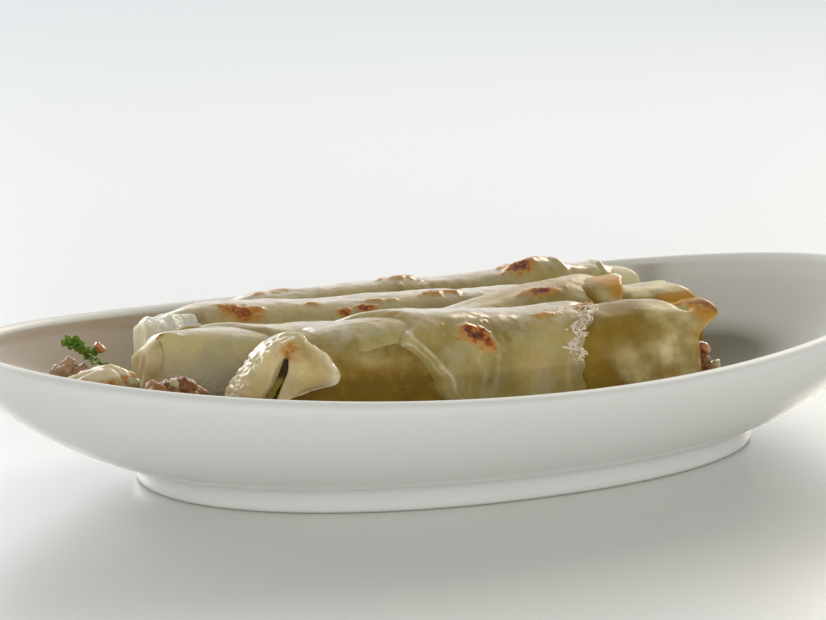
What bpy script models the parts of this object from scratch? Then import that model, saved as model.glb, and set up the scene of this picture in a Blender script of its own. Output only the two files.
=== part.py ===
"""Cannelloni baked and served in an oval porcelain dish.

Four rolled sheets of pasta lie side by side along the dish. Each is a tube round a
filling of minced meat. One blanket of melted cheese lies over all four and hangs down
the front of the first. A little filling has fallen out at both ends.
Lengths are in millimetres here and become metres when a mesh is made.
X runs along the dish, Y across it, Z up, with Z = 0 on the table.
"""
import math

import bmesh
import bpy
from mathutils import Vector, noise

MM = 0.001
GAP = 0.35              # clear space between pieces that touch

# ---- the dish -------------------------------------------------------------
DISH_HALF_LENGTH = 110.0
DISH_HALF_WIDTH = 62.2
RIM_HEIGHT = 26.1       # at the middle of the long sides
END_RISE = 6.6          # the two ends stand higher than the sides
FOOT_HALF_LENGTH = 70.8
FOOT_HALF_WIDTH = 43.5
FOOT_HEIGHT = 5.0
FOOT_WIDTH = 4.0        # width of the ring that stands on the table
FOOT_SQUARENESS = 2.13  # 2 is an ellipse, more is squarer
RECESS = 2.0            # hollow under the floor, inside the foot ring
FLOOR_TOP = 6.6
FLOOR_HALF_LENGTH = 62.0
FLOOR_HALF_WIDTH = 35.0
WALL = 4.4
DISH_SEGMENTS = 48

# ---- the rolls ------------------------------------------------------------
PASTA = 1.3             # thickness of the pasta sheet
SQUARENESS = 2.5        # cross-section of a roll, between round and square
ROLL_SEGMENTS = 18
LEAN = -0.085           # the rolls lie a little across the dish

# y, x0, x1: centre line across the dish and the ends along it
# half, base, top: half width, underside, ridge at the left end, middle and right end
# slant: how far the left end slants out towards the bottom
# ear: how far the sheet's free corner stands out at the right end
# cut: how much further the right end reaches at the front, by the half width
# box: 1 where the left end is pressed to a box with a flat face, 0 where it is round
# inside: how far behind the right end the filling stops
# bumps: (place, rise, reach) along the ridge
ROLLS = {
    "pasta_roll_1": dict(y=-24.5, x0=-55.0, x1=38.3, half=12.1, base=7.3,
                         top=(34.9, 35.5, 34.8), slant=9.0, ear=6.4, cut=0.0, box=0.0,
                         inside=1.2, bumps=((-24.0, 0.9, 15.0), (29.0, 0.8, 6.0))),
    "pasta_roll_2": dict(y=-0.8, x0=-72.6, x1=40.2, half=11.1, base=7.3,
                         top=(34.2, 29.2, 36.5), slant=0.0, ear=0.0, cut=-0.6, box=1.0,
                         inside=4.5, bumps=((-74.0, -3.4, 4.2), (-46.0, -0.8, 12.0))),
    "pasta_roll_3": dict(y=20.8, x0=-63.3, x1=64.3, half=9.9, base=7.3,
                         top=(32.0, 30.2, 29.2), slant=0.3, ear=0.0, cut=0.35, box=1.0,
                         inside=1.2, bumps=()),
    "pasta_roll_4": dict(y=39.2, x0=-38.0, x1=61.8, half=8.0, base=11.6,
                         top=(28.8, 29.6, 30.2), slant=1.0, ear=0.0, cut=0.4, box=0.0,
                         inside=1.2, bumps=()),
}
BOX_SQUARENESS = 4.5    # cross-section of a pressed end
BOX_REACH = 11.0        # how far along the roll it stays boxy
TOP_TILT = 0.35         # fall of a pressed top towards the back
TILT_REACH = 26.0
FACE_TURN = 0.62        # how a pressed end face turns away towards the back
FACE_REACH = 16.0
FOOT_SPREAD = 0.24      # how it spreads to the left lower down
FOOT_REACH = 7.0

# ---- the cheese -----------------------------------------------------------
CHEESE = 1.6            # thickness of the melted layer
CHEESE_SAG = 0.48       # how far it sinks between rolls, by a roll's half height
CHEESE_MELT = 1.3       # how softly it bridges the valleys between rolls
CHEESE_LEFT = (-46.0, -57.0, -53.5, -32.5)    # left edge over rolls 1 to 4
CHEESE_RIGHT = (21.0, 33.0, 52.0, 59.5)       # right edge over rolls 1 to 4
CHEESE_STATIONS = 18


def smooth(t):
    """0 below 0, 1 above 1, an even curve between."""
    t = min(1.0, max(0.0, t))
    return t * t * (3.0 - 2.0 * t)


def mix(a, b, t):
    return a + (b - a) * t


def power(value, exponent):
    """A signed power, for superellipses."""
    return math.copysign(abs(value) ** exponent, value)


def material(name, colour, roughness):
    mat = bpy.data.materials.new(name)
    mat.use_nodes = True
    shader = mat.node_tree.nodes["Principled BSDF"]
    shader.inputs["Base Color"].default_value = (*colour, 1.0)
    shader.inputs["Roughness"].default_value = roughness
    shader.inputs["Metallic"].default_value = 0.0
    mat.diffuse_color = (*colour, 1.0)
    return mat


def loft(name, rings, mat, collection, smooth_angle=40.0):
    """A closed body through a row of rings, each capped to its middle at the ends."""
    bm = bmesh.new()
    rows = []
    for ring in rings:
        rows.append([bm.verts.new(Vector(p) * MM) for p in ring])
    count = len(rows[0])
    for a, b in zip(rows, rows[1:]):
        for i in range(count):
            j = (i + 1) % count
            bm.faces.new((a[i], a[j], b[j], b[i]))
    for row in (rows[0], rows[-1]):
        middle = Vector((0.0, 0.0, 0.0))
        for vert in row:
            middle += vert.co
        tip = bm.verts.new(middle / count)
        for i in range(count):
            bm.faces.new((row[i], row[(i + 1) % count], tip))
    return finish(name, bm, mat, collection, smooth_angle)


def shell(name, outer, inner, mat, collection, smooth_angle=50.0):
    """A closed sheet between two grids of points that share their border."""
    bm = bmesh.new()
    rows, cols = len(outer), len(outer[0])
    top = [[bm.verts.new(Vector(p) * MM) for p in row] for row in outer]
    low = [[bm.verts.new(Vector(p) * MM) for p in row] for row in inner]
    for i in range(rows - 1):
        for j in range(cols - 1):
            bm.faces.new((top[i][j], top[i + 1][j], top[i + 1][j + 1], top[i][j + 1]))
            bm.faces.new((low[i][j], low[i][j + 1], low[i + 1][j + 1], low[i + 1][j]))
    for i in range(rows - 1):
        for j in (0, cols - 1):
            bm.faces.new((top[i][j], top[i + 1][j], low[i + 1][j], low[i][j]))
    for j in range(cols - 1):
        for i in (0, rows - 1):
            bm.faces.new((top[i][j], top[i][j + 1], low[i][j + 1], low[i][j]))
    return finish(name, bm, mat, collection, smooth_angle)


def finish(name, bm, mat, collection, smooth_angle):
    """Turn the faces out, triangulate and make the object."""
    bmesh.ops.recalc_face_normals(bm, faces=bm.faces[:])
    if bm.calc_volume(signed=True) < 0.0:
        bmesh.ops.reverse_faces(bm, faces=bm.faces[:])
    bmesh.ops.triangulate(bm, faces=bm.faces[:])
    mesh = bpy.data.meshes.new(name)
    bm.to_mesh(mesh)
    bm.free()
    mesh.materials.append(mat)
    mesh.shade_smooth()
    mesh.set_sharp_from_angle(angle=math.radians(smooth_angle))
    made = bpy.data.objects.new(name, mesh)
    collection.objects.link(made)
    return made


# ---- the dish -------------------------------------------------------------
def oval(half_length, half_width, squareness, height, rise):
    """One level of the dish, with its two ends lifted by rise."""
    ring = []
    for k in range(DISH_SEGMENTS):
        t = math.tau * k / DISH_SEGMENTS
        x = half_length * power(math.cos(t), 2.0 / squareness)
        y = half_width * power(math.sin(t), 2.0 / squareness)
        ring.append((x, y, height + rise * math.cos(t) ** 2))
    return ring


def wall_out(level):
    """How far the outside has spread from foot (0) to rim (1) at a level."""
    return 0.03 + 0.97 * (1.0 - (1.0 - level) ** 1.6) ** 0.8


def wall_in(level):
    """The same for the inside, which leaves the floor in a soft curve."""
    return (1.0 - (1.0 - level) ** 1.75) ** 0.62


def outside(level):
    g = wall_out(level)
    return oval(mix(FOOT_HALF_LENGTH, DISH_HALF_LENGTH, g),
                mix(FOOT_HALF_WIDTH, DISH_HALF_WIDTH, g),
                mix(FOOT_SQUARENESS, 2.0, g),
                mix(FOOT_HEIGHT, RIM_HEIGHT - 1.6, level), END_RISE * level)


def inside(level):
    g = wall_in(level)
    return oval(mix(FLOOR_HALF_LENGTH, DISH_HALF_LENGTH - WALL, g),
                mix(FLOOR_HALF_WIDTH, DISH_HALF_WIDTH - WALL, g),
                mix(FOOT_SQUARENESS, 2.0, g),
                mix(FLOOR_TOP, RIM_HEIGHT - 1.6, level), END_RISE * level)


def dish_height(x, y):
    """Height of the inside of the dish at a point, found level by level."""
    low, high = 0.0, 1.0
    for _ in range(30):
        level = (low + high) / 2.0
        g = wall_in(level)
        a = mix(FLOOR_HALF_LENGTH, DISH_HALF_LENGTH - WALL, g)
        b = mix(FLOOR_HALF_WIDTH, DISH_HALF_WIDTH - WALL, g)
        if (x / a) ** 2 + (y / b) ** 2 > 1.0:
            low = level
        else:
            high = level
    return mix(FLOOR_TOP, RIM_HEIGHT - 1.6, high) + END_RISE * high * (x / a) ** 2


def foot(inset, height):
    return oval(FOOT_HALF_LENGTH - inset, FOOT_HALF_WIDTH - inset,
                FOOT_SQUARENESS, height, 0.0)


def make_dish(mat, collection):
    ring = FOOT_WIDTH
    rings = [foot(ring + 26.0, RECESS + 0.3),
             foot(ring + 1.0, RECESS),
             foot(ring, 0.0),
             foot(0.9, 0.0),
             foot(0.0, 0.9),
             foot(-0.2, FOOT_HEIGHT - 0.8)]
    for level in (0.03, 0.1, 0.22, 0.38, 0.56, 0.75, 0.9, 1.0):
        rings.append(outside(level))
    for turn in (35.0, 90.0, 145.0):
        a = math.radians(turn)
        inset = WALL / 2.0 * (1.0 - math.cos(a))
        rings.append(oval(DISH_HALF_LENGTH - inset, DISH_HALF_WIDTH - inset, 2.0,
                          RIM_HEIGHT - 1.6 + 1.6 * math.sin(a), END_RISE))
    for level in (1.0, 0.88, 0.7, 0.5, 0.32, 0.17, 0.07, 0.0):
        rings.append(inside(level))
    rings.append(oval(FLOOR_HALF_LENGTH * 0.5, FLOOR_HALF_WIDTH * 0.5, 2.0,
                      FLOOR_TOP, 0.0))
    return loft("dish", rings, mat, collection)


# ---- the rolls ------------------------------------------------------------
def ridge(roll, x):
    """Height of a roll's ridge, through its left, middle and right heights."""
    s = (x - roll["x0"]) / (roll["x1"] - roll["x0"])
    left, centre, right = roll["top"]
    height = mix(left, centre, smooth(s * 2.0)) if s < 0.5 else mix(
        centre, right, smooth(s * 2.0 - 1.0))
    for place, rise, reach_x in roll["bumps"]:
        height += rise * math.exp(-((x - place) / reach_x) ** 2)
    return height + 0.2 * math.sin(x * 0.17 + roll["y"])


def section(roll, x, inset=0.0):
    """Centre and half sizes of a roll's cross-section at x."""
    top = ridge(roll, x) - inset
    low = roll["base"] + inset
    half_h = (top - low) / 2.0
    return roll["y"] + LEAN * x, low + half_h, roll["half"] - inset, half_h


def end_shape(roll, angle):
    """Where the sheet ends at the right, with its free corner standing out."""
    degree = math.degrees(angle)
    ear = smooth((degree - 20.0) / 34.0) ** 1.3 * (1.0 - smooth((degree - 84.0) / 11.0))
    aslant = roll["cut"] * roll["half"] * max(0.0, math.cos(angle)) ** 0.8
    return roll["x1"] + roll["ear"] * ear + aslant


def press(roll, point):
    """Bend a point of a pressed left end: top tilted back, face turned, foot spread."""
    x, y, z = point
    centre_y, centre_z, half_w, half_h = section(roll, x)
    from_end = x - roll["x0"]
    behind = y - centre_y
    upper = min(1.0, max(0.0, (z - centre_z) / half_h))
    tilt = TOP_TILT * (1.0 - smooth(from_end / TILT_REACH))
    z -= roll["box"] * tilt * max(0.0, behind + 0.62 * half_w) * upper
    turn = FACE_TURN * (1.0 - smooth(from_end / FACE_REACH))
    spread = FOOT_SPREAD * (1.0 - smooth(from_end / FOOT_REACH))
    shift = roll["box"] * (turn * max(0.0, behind + 1.6)
                           - spread * min(12.0, max(0.0, 30.0 - z)))
    return x + shift, y + LEAN * shift, z


def tube_ring(roll, x, inset, scale=1.0, slant=0.0, to_end=False):
    """A cross-section of a roll: 0 is its front, 90 its ridge, 180 its back.

    Where the dish curves up, the underside lies on the dish.
    """
    y, z, half_w, half_h = section(roll, x, inset)
    boxy = roll["box"] * (1.0 - smooth((x - roll["x0"]) / BOX_REACH))
    ring = []
    for k in range(ROLL_SEGMENTS):
        a = math.tau * k / ROLL_SEGMENTS
        across, up = [mix(power(turn, 2.0 / SQUARENESS), power(turn, 2.0 / BOX_SQUARENESS), boxy)
                      for turn in (math.cos(a), math.sin(a))]
        dy = -half_w * scale * across
        dz = half_h * scale * up
        px = x - slant * (0.5 - 0.5 * math.sin(a)) * scale
        if to_end:
            px = end_shape(roll, a)
            y = roll["y"] + LEAN * px
            flare = max(0.0, px - roll["x1"] - 0.5) if roll["ear"] else 0.0
            dy -= 0.12 * flare
            dz += 0.06 * flare
        px, py, pz = press(roll, (px, y + dy, z + dz))
        rest = dish_height(px, py) + 2.2 * GAP + inset
        ring.append((px, py, max(pz, rest)))
    return ring


def make_roll(name, roll, mat, collection):
    """A tube of pasta, folded shut at the left and open at the right."""
    x0, x1 = roll["x0"], roll["x1"]
    slant = roll["slant"]
    stations = [x0 + 6.0 + (x1 - x0 - 13.0) * k / 6.0 for k in range(7)]
    rings = [tube_ring(roll, x0, 0.0, 0.55, slant),
             tube_ring(roll, x0 + 0.7, 0.0, 0.86, slant),
             tube_ring(roll, x0 + 2.6, 0.0, 0.97, slant)]
    for k, x in enumerate(stations):
        rings.append(tube_ring(roll, x, 0.0, 1.0, slant * max(0.0, 1.0 - k / 2.0) * 0.8))
    rings.append(tube_ring(roll, x1, 0.0, to_end=True))
    rings.append(tube_ring(roll, x1, PASTA, to_end=True))
    for k, x in reversed(list(enumerate(stations))):
        rings.append(tube_ring(roll, x, PASTA, 1.0,
                               slant * max(0.0, 1.0 - k / 2.0) * 0.8))
    rings.append(tube_ring(roll, x0 + 3.2, PASTA, 0.9, slant))
    rings.append(tube_ring(roll, x0 + 2.4, PASTA, 0.5, slant))
    return loft(name, rings, mat, collection)


def make_filling(name, roll, mat, collection):
    """The minced filling, through the whole roll and rough where it shows."""
    x0, x1 = roll["x0"], roll["x1"]
    slant = roll["slant"]
    inset = PASTA + GAP + 0.15
    stations = [x0 + 6.0 + (x1 - x0 - 13.0) * k / 6.0 for k in range(7)]
    rings = [tube_ring(roll, x0 + 3.6, inset, 0.4, slant),
             tube_ring(roll, x0 + 4.2, inset, 0.82, slant)]
    for k, x in enumerate(stations):
        rings.append(tube_ring(roll, x, inset, 0.985,
                               slant * max(0.0, 1.0 - k / 2.0) * 0.8))
    rings.append(tube_ring(roll, x1 - roll["inside"] - 1.2, inset + 0.2, 0.93))
    rings.append(tube_ring(roll, x1 - roll["inside"], inset, 0.55))
    return loft(name, rings, mat, collection, 60.0)


# ---- the cheese -----------------------------------------------------------
def reach(roll, x, origin, direction):
    """How far a ray in the plane of x goes from inside a roll to its surface."""
    y, z, half_w, half_h = section(roll, x)
    inner, outer = 0.0, 60.0
    for _ in range(40):
        t = (inner + outer) / 2.0
        dy = abs((origin[0] + direction[0] * t - y) / half_w)
        dz = abs((origin[1] + direction[1] * t - z) / half_h)
        if dy ** SQUARENESS + dz ** SQUARENESS < 1.0:
            inner = t
        else:
            outer = t
    return outer


def sheet_height(rolls, x, y):
    """Height of the underside of the cheese over the rolls, sagging between them."""
    total = 0.0
    for roll in rolls:
        if roll["x0"] < x < roll["x1"] + 5.0:
            middle, _, half, half_h = section(roll, x)
            away = min(1.7, abs(y - middle) / half)
            height = ridge(roll, x) - CHEESE_SAG * half_h * away ** 3
            total += math.exp((height - 30.0) / CHEESE_MELT)
    return 30.0 + CHEESE_MELT * math.log(total)


def front_hem(x):
    """Angle at which the cheese stops on the front of roll 1, 90 being its ridge."""
    left = 1.0 - smooth((x + 33.0) / 12.0)
    right = smooth((x - 9.0) / 13.0)
    return -24.0 + 64.0 * left + 88.0 * right


def edge_over(values, v, centres):
    """An edge of the cheese, eased from roll to roll."""
    y = v
    for k in range(3):
        if y <= centres[k + 1]:
            return mix(values[k], values[k + 1],
                       smooth((y - centres[k]) / (centres[k + 1] - centres[k])))
    return values[3]


def make_cheese(mat, collection):
    rolls = list(ROLLS.values())
    centres = [roll["y"] for roll in rolls]
    front, middle, back = 7, 16, 3
    columns = []
    for j in range(front + middle + back + 1):
        if j < front:
            columns.append(("front", j / front))
        elif j <= front + middle:
            columns.append(("middle", (j - front) / middle))
        else:
            columns.append(("back", (j - front - middle) / back))
    outer, inner = [], []
    for i in range(CHEESE_STATIONS + 1):
        s = i / CHEESE_STATIONS
        row_out, row_in = [], []
        for kind, t in columns:
            y = mix(centres[0], centres[3], t if kind == "middle" else float(kind == "back"))
            x = mix(edge_over(CHEESE_LEFT, y, centres), edge_over(CHEESE_RIGHT, y, centres), s)
            z = mix(section(rolls[0], x)[1], section(rolls[3], x)[1],
                    (y - centres[0]) / (centres[3] - centres[0]))
            y += LEAN * x
            angle = 90.0
            if kind == "front":
                angle = mix(front_hem(x), 90.0, t)
            elif kind == "back":
                angle = mix(90.0, 138.0, t)
            a = math.radians(angle)
            ray = (-math.cos(a), math.sin(a))
            if kind == "middle":
                far = sheet_height(rolls, x, y) - z
            else:
                far = reach(rolls[0] if kind == "front" else rolls[3], x, (y, z), ray)
            under = far + 2.5 * GAP
            along = min(s, 1.0 - s) * CHEESE_STATIONS
            across = min(len(row_out), len(columns) - 1 - len(row_out))
            border = smooth(min(along, across) / 2.0)
            lump = noise.noise(Vector((x * 0.09, y * 0.14, angle * 0.03)))
            thick = mix(0.6, CHEESE + 0.55 * lump, border)
            row_in.append((x, y + ray[0] * under, z + ray[1] * under))
            row_out.append((x, y + ray[0] * (under + thick), z + ray[1] * (under + thick)))
        outer.append(row_out)
        inner.append(row_in)
    return shell("melted_cheese", outer, inner, mat, collection)


# ---- what has fallen out --------------------------------------------------
def make_heap(name, centre, size, top, turn, seed, mat, collection, rings=6, around=14):
    """An uneven mound from the curved inside of the dish up to its crown."""
    rows = []
    c, s = math.cos(math.radians(turn)), math.sin(math.radians(turn))
    for k in range(rings + 1):
        t = k / rings
        scale = 0.78 if k == 0 else math.sqrt(max(0.0, 1.0 - (t * 0.94) ** 2.4))
        row = []
        for i in range(around):
            a = math.tau * i / around
            bump = 1.0 + 0.13 * noise.noise(Vector((math.cos(a) * 1.9 + seed,
                                                    math.sin(a) * 1.9, t * 2.3)))
            px = size[0] * math.cos(a) * scale * bump
            py = size[1] * math.sin(a) * scale * bump
            x, y = centre[0] + px * c - py * s, centre[1] + px * s + py * c
            row.append((x, y, mix(dish_height(x, y) + 2.0 * GAP, top, t)))
        rows.append(row)
    return loft(name, rows, mat, collection, 60.0)


def main():
    for old in list(bpy.data.objects):
        bpy.data.objects.remove(old, do_unlink=True)
    collection = bpy.data.collections.new("cannelloni")
    bpy.context.scene.collection.children.link(collection)

    porcelain = material("porcelain", (0.72, 0.71, 0.68), 0.12)
    pasta = material("pasta", (0.62, 0.50, 0.20), 0.38)
    mince = material("mince", (0.36, 0.21, 0.16), 0.55)
    cheese = material("cheese", (0.72, 0.66, 0.42), 0.25)

    make_dish(porcelain, collection)
    for number, (name, roll) in enumerate(ROLLS.items(), 1):
        make_roll(name, roll, pasta, collection)
        make_filling(f"filling_{number}", roll, mince, collection)
    make_cheese(cheese, collection)
    make_heap("spilled_filling_front", (-75.5, -22.5), (10.5, 7.0), 28.8, 15.0, 3.1,
              mince, collection)
    make_heap("spilled_filling_left", (-83.0, 8.0), (6.0, 8.5), 29.8, 10.0, 7.7,
              mince, collection)
    make_heap("cheese_fold_left", (-87.2, -10.2), (9.6, 5.4), 29.6, 8.0, 5.3,
              cheese, collection)
    make_heap("spilled_filling_right", (47.6, -27.0), (5.2, 7.3), 24.0, 0.0, 9.4,
              mince, collection)


main()
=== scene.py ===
# %% [markdown]
# # Cannelloni in an oval porcelain dish
# Four rolls of pasta with a meat filling lie side by side in a shallow oval dish. One
# layer of melted cheese covers them, browned in spots by the grill. The measured solids
# are loaded first. Each visible piece is then built around them at its true size.

# %% Load the measured solids
import math
import bmesh
import bpy
import numpy as np
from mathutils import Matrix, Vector


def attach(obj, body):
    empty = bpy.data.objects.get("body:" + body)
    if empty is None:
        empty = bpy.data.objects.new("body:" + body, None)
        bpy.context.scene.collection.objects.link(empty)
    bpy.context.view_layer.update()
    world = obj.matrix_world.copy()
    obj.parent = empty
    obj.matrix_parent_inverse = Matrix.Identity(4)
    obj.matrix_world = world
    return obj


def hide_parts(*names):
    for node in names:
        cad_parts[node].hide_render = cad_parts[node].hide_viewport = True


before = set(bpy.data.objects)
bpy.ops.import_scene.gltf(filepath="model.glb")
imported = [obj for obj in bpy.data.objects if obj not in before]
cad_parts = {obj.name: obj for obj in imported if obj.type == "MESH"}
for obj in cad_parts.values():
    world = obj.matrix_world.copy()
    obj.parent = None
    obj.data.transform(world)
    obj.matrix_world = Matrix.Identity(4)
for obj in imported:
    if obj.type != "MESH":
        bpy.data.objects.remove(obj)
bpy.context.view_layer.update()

# %% [markdown]
# ## The camera
# A long lens stands close to the table and looks a little down and along the dish. A long
# lens keeps the oval calm, because near and far parts are drawn at almost one scale.

# %% Camera
SENSOR_MM, LENS_MM = 36.0, 152.5
CAMERA_PLACE = (-0.35152, -0.64396, 0.18014)
CAMERA_AIM = (0.46005, 0.86539, -0.19862)


def make_camera():
    data = bpy.data.cameras.new("camera")
    camera = bpy.data.objects.new("camera", data)
    bpy.context.scene.collection.objects.link(camera)
    data.sensor_width = SENSOR_MM
    data.lens = LENS_MM
    data.clip_start = 0.05
    camera.location = CAMERA_PLACE
    camera.rotation_euler = Vector(CAMERA_AIM).to_track_quat("-Z", "Y").to_euler()
    bpy.context.scene.camera = camera
    return camera


camera = make_camera()
print("camera height in mm:", round(camera.location.z * 1000))

# %% [markdown]
# ## Small tools
# Food has no straight edge, so every surface here is a rule plus some unevenness. These
# helpers ease between values and give a smooth random field. The field comes from whole
# number arithmetic, so each run gives the same food. Lengths are in millimetres until a
# mesh is made.

# %% Easing and random fields
def smooth(t):
    """0 below 0, 1 above 1, an even curve between."""
    t = np.clip(t, 0.0, 1.0)
    return t * t * (3.0 - 2.0 * t)


def mix(a, b, t):
    return a + (b - a) * t


def power(value, exponent):
    """A signed power, for superellipses."""
    return np.sign(value) * np.abs(value) ** exponent


def corner_value(ix, iy, iz, seed):
    """A fixed random number from -1 to 1 for each corner of a grid of cubes."""
    h = (ix * 73856093) ^ (iy * 19349663) ^ (iz * 83492791) ^ (seed * 2654435761)
    h = (h ^ (h >> 13)) * 1274126177
    h = (h ^ (h >> 16)) & 0xFFFF
    return h / 32767.5 - 1.0


def field(points, size, seed=0):
    """Smooth noise over points, with lumps of about the given size in mm."""
    p = np.asarray(points, dtype=float) / np.asarray(size, dtype=float)
    cell = np.floor(p).astype(np.int64)
    t = p - cell
    t = t * t * t * (t * (t * 6.0 - 15.0) + 10.0)
    total = 0.0
    for dx in (0, 1):
        for dy in (0, 1):
            for dz in (0, 1):
                weight = (np.abs(1 - dx - t[..., 0]) * np.abs(1 - dy - t[..., 1])
                          * np.abs(1 - dz - t[..., 2]))
                total = total + weight * corner_value(
                    cell[..., 0] + dx, cell[..., 1] + dy, cell[..., 2] + dz, seed)
    return total


def rough_field(points, size, seed=0, octaves=3):
    """The same with finer lumps added to the coarse ones."""
    total, gain = 0.0, 1.0
    for k in range(octaves):
        total = total + gain * field(points, np.asarray(size, dtype=float) / 2.0 ** k, seed + k)
        gain *= 0.5
    return total


print("one sample of the field:", round(float(field(np.array([3.3, 1.2, 0.4]), 5.0)), 3))

# %% [markdown]
# ## From rows of points to a mesh
# Most pieces are a grid of points: rows along the piece, columns round or across it. One
# helper turns a grid into quads, closes it round if it is a tube, and caps its ends. It
# also stores any value per point, such as how browned the food is there.

# %% Mesh helpers
MM = 0.001


def make_mesh(name, points, faces, material, values=None, sharp=None):
    """A smooth shaded mesh object from points in mm, riding on the one body."""
    mesh = bpy.data.meshes.new(name)
    mesh.from_pydata((np.asarray(points) * MM).tolist(), [], faces)
    for key, value in (values or {}).items():
        layer = mesh.attributes.new(key, "FLOAT", "POINT")
        layer.data.foreach_set("value", np.asarray(value, dtype=np.float32).ravel())
    mesh.materials.append(material)
    mesh.shade_smooth()
    if sharp:
        mesh.set_sharp_from_angle(angle=math.radians(sharp))
    mesh.validate()
    made = bpy.data.objects.new(name, mesh)
    bpy.context.scene.collection.objects.link(made)
    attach(made, "root")
    print(name, "has", len(mesh.polygons), "faces")
    return made


def grid_faces(rows, cols, start=0, around=False, flip=False):
    """Quads between the rows of a grid whose first point has index start."""
    r = np.arange(rows - 1)[:, None]
    c = np.arange(cols if around else cols - 1)[None, :]
    a = start + r * cols + c
    b = start + r * cols + (c + 1) % cols
    quads = np.stack([a, b, b + cols, a + cols], -1).reshape(-1, 4)
    return (quads[:, ::-1] if flip else quads).tolist()


def make_loft(name, grid, material, values=None, flip=False, sharp=None):
    """A tube through rings of points, closed by a fan at each end."""
    rows, cols = grid.shape[:2]
    points = grid.reshape(-1, 3)
    points = np.concatenate([points, grid[0].mean(0)[None], grid[-1].mean(0)[None]])
    faces = grid_faces(rows, cols, around=True, flip=flip)
    first, last = rows * cols, rows * cols + 1
    for c in range(cols):
        d = (c + 1) % cols
        one = [first, d, c]
        two = [last, (rows - 1) * cols + c, (rows - 1) * cols + d]
        faces.append(one[::-1] if flip else one)
        faces.append(two[::-1] if flip else two)
    more = {}
    for key, value in (values or {}).items():
        value = np.asarray(value)
        more[key] = np.concatenate([value.ravel(), [value[0].mean(), value[-1].mean()]])
    return make_mesh(name, points, faces, material, more, sharp)


def make_skin(name, outer, inner, material, values=None, flip=False):
    """A closed sheet between two grids of points with the same rows and columns."""
    rows, cols = outer.shape[:2]
    count = rows * cols
    points = np.concatenate([outer.reshape(-1, 3), inner.reshape(-1, 3)])
    faces = grid_faces(rows, cols, flip=flip) + grid_faces(rows, cols, count, flip=not flip)
    rim = ([(0, c) for c in range(cols - 1)] + [(r, cols - 1) for r in range(rows - 1)]
           + [(rows - 1, c) for c in range(cols - 1, 0, -1)]
           + [(r, 0) for r in range(rows - 1, 0, -1)])
    rim = [r * cols + c for r, c in rim]
    for a, b in zip(rim, rim[1:] + rim[:1]):
        quad = [b, a, a + count, b + count]
        faces.append(quad[::-1] if flip else quad)
    more = {key: np.concatenate([np.ravel(v), np.ravel(v)]) for key, v in (values or {}).items()}
    return make_mesh(name, points, faces, material, more)


# %% [markdown]
# ## Tools for finishes
# A finish is a small graph of nodes. These helpers add a node, join two, and mix two
# colours, so that each finish below reads as a short list of steps.

# %% Finish helpers
def new_finish(name, colour, roughness):
    finish = bpy.data.materials.new(name)
    finish.use_nodes = True
    shader = finish.node_tree.nodes["Principled BSDF"]
    shader.inputs["Base Color"].default_value = (*colour, 1.0)
    shader.inputs["Roughness"].default_value = roughness
    return finish, finish.node_tree, shader


def add(tree, kind, **settings):
    """Add a node, set its settings, and its inputs where the name is an input's."""
    node = tree.nodes.new(kind)
    for key, value in settings.items():
        label = key.replace("_", " ")
        if label in node.inputs:
            node.inputs[label].default_value = value
        else:
            setattr(node, key, value)
    return node


def noise_node(tree, size, detail=3.0, stretch=(1.0, 1.0, 1.0), rough=0.5):
    """Noise with lumps of about size mm, fixed to the piece."""
    where = add(tree, "ShaderNodeTexCoord")
    scale = add(tree, "ShaderNodeMapping")
    scale.inputs["Scale"].default_value = tuple(1000.0 / size / s for s in stretch)
    tree.links.new(where.outputs["Object"], scale.inputs["Vector"])
    node = add(tree, "ShaderNodeTexNoise", Scale=1.0, Detail=detail, Roughness=rough)
    tree.links.new(scale.outputs["Vector"], node.inputs["Vector"])
    return node.outputs["Fac"]


def ramp(tree, value, low, high, start=0.0, end=1.0):
    """Spread the part of value between low and high over start to end."""
    node = add(tree, "ShaderNodeMapRange")
    node.inputs["From Min"].default_value = low
    node.inputs["From Max"].default_value = high
    node.inputs["To Min"].default_value = start
    node.inputs["To Max"].default_value = end
    tree.links.new(value, node.inputs["Value"])
    return node.outputs["Result"]


def blend_colour(tree, share, one, two):
    """Mix two colours, given as values or as outputs of other nodes."""
    node = add(tree, "ShaderNodeMix", data_type="RGBA")
    tree.links.new(share, node.inputs["Factor"])
    for value, key in ((one, 6), (two, 7)):
        if isinstance(value, tuple):
            node.inputs[key].default_value = (*value, 1.0)
        else:
            tree.links.new(value, node.inputs[key])
    return node.outputs[2]


def stored(tree, key):
    """A value stored on the mesh, such as how browned it is."""
    return add(tree, "ShaderNodeAttribute", attribute_name=key).outputs["Fac"]


def multiply(tree, a, b):
    node = add(tree, "ShaderNodeMath", operation="MULTIPLY")
    for value, socket in ((a, node.inputs[0]), (b, node.inputs[1])):
        if isinstance(value, float):
            socket.default_value = value
        else:
            tree.links.new(value, socket)
    return node.outputs[0]


def relief(tree, shader, layers):
    """Stack bumps, each (height, depth in mm), and give them to the shader."""
    last = None
    for height, depth in layers:
        node = add(tree, "ShaderNodeBump", Strength=1.0)
        node.inputs["Distance"].default_value = depth * MM
        tree.links.new(height, node.inputs["Height"])
        if last is not None:
            tree.links.new(last, node.inputs["Normal"])
        last = node.outputs["Normal"]
    tree.links.new(last, shader.inputs["Normal"])
    if "Coat Normal" in shader.inputs:
        tree.links.new(last, shader.inputs["Coat Normal"])


def soften(shader, weight, radius, scale):
    """Let light travel a little way inside the food."""
    shader.inputs["Subsurface Weight"].default_value = weight
    shader.inputs["Subsurface Radius"].default_value = radius
    shader.inputs["Subsurface Scale"].default_value = scale * MM


print("lumps of 9 mm need a noise scale of", round(1.0 / (9.0 * MM), 1))

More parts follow.
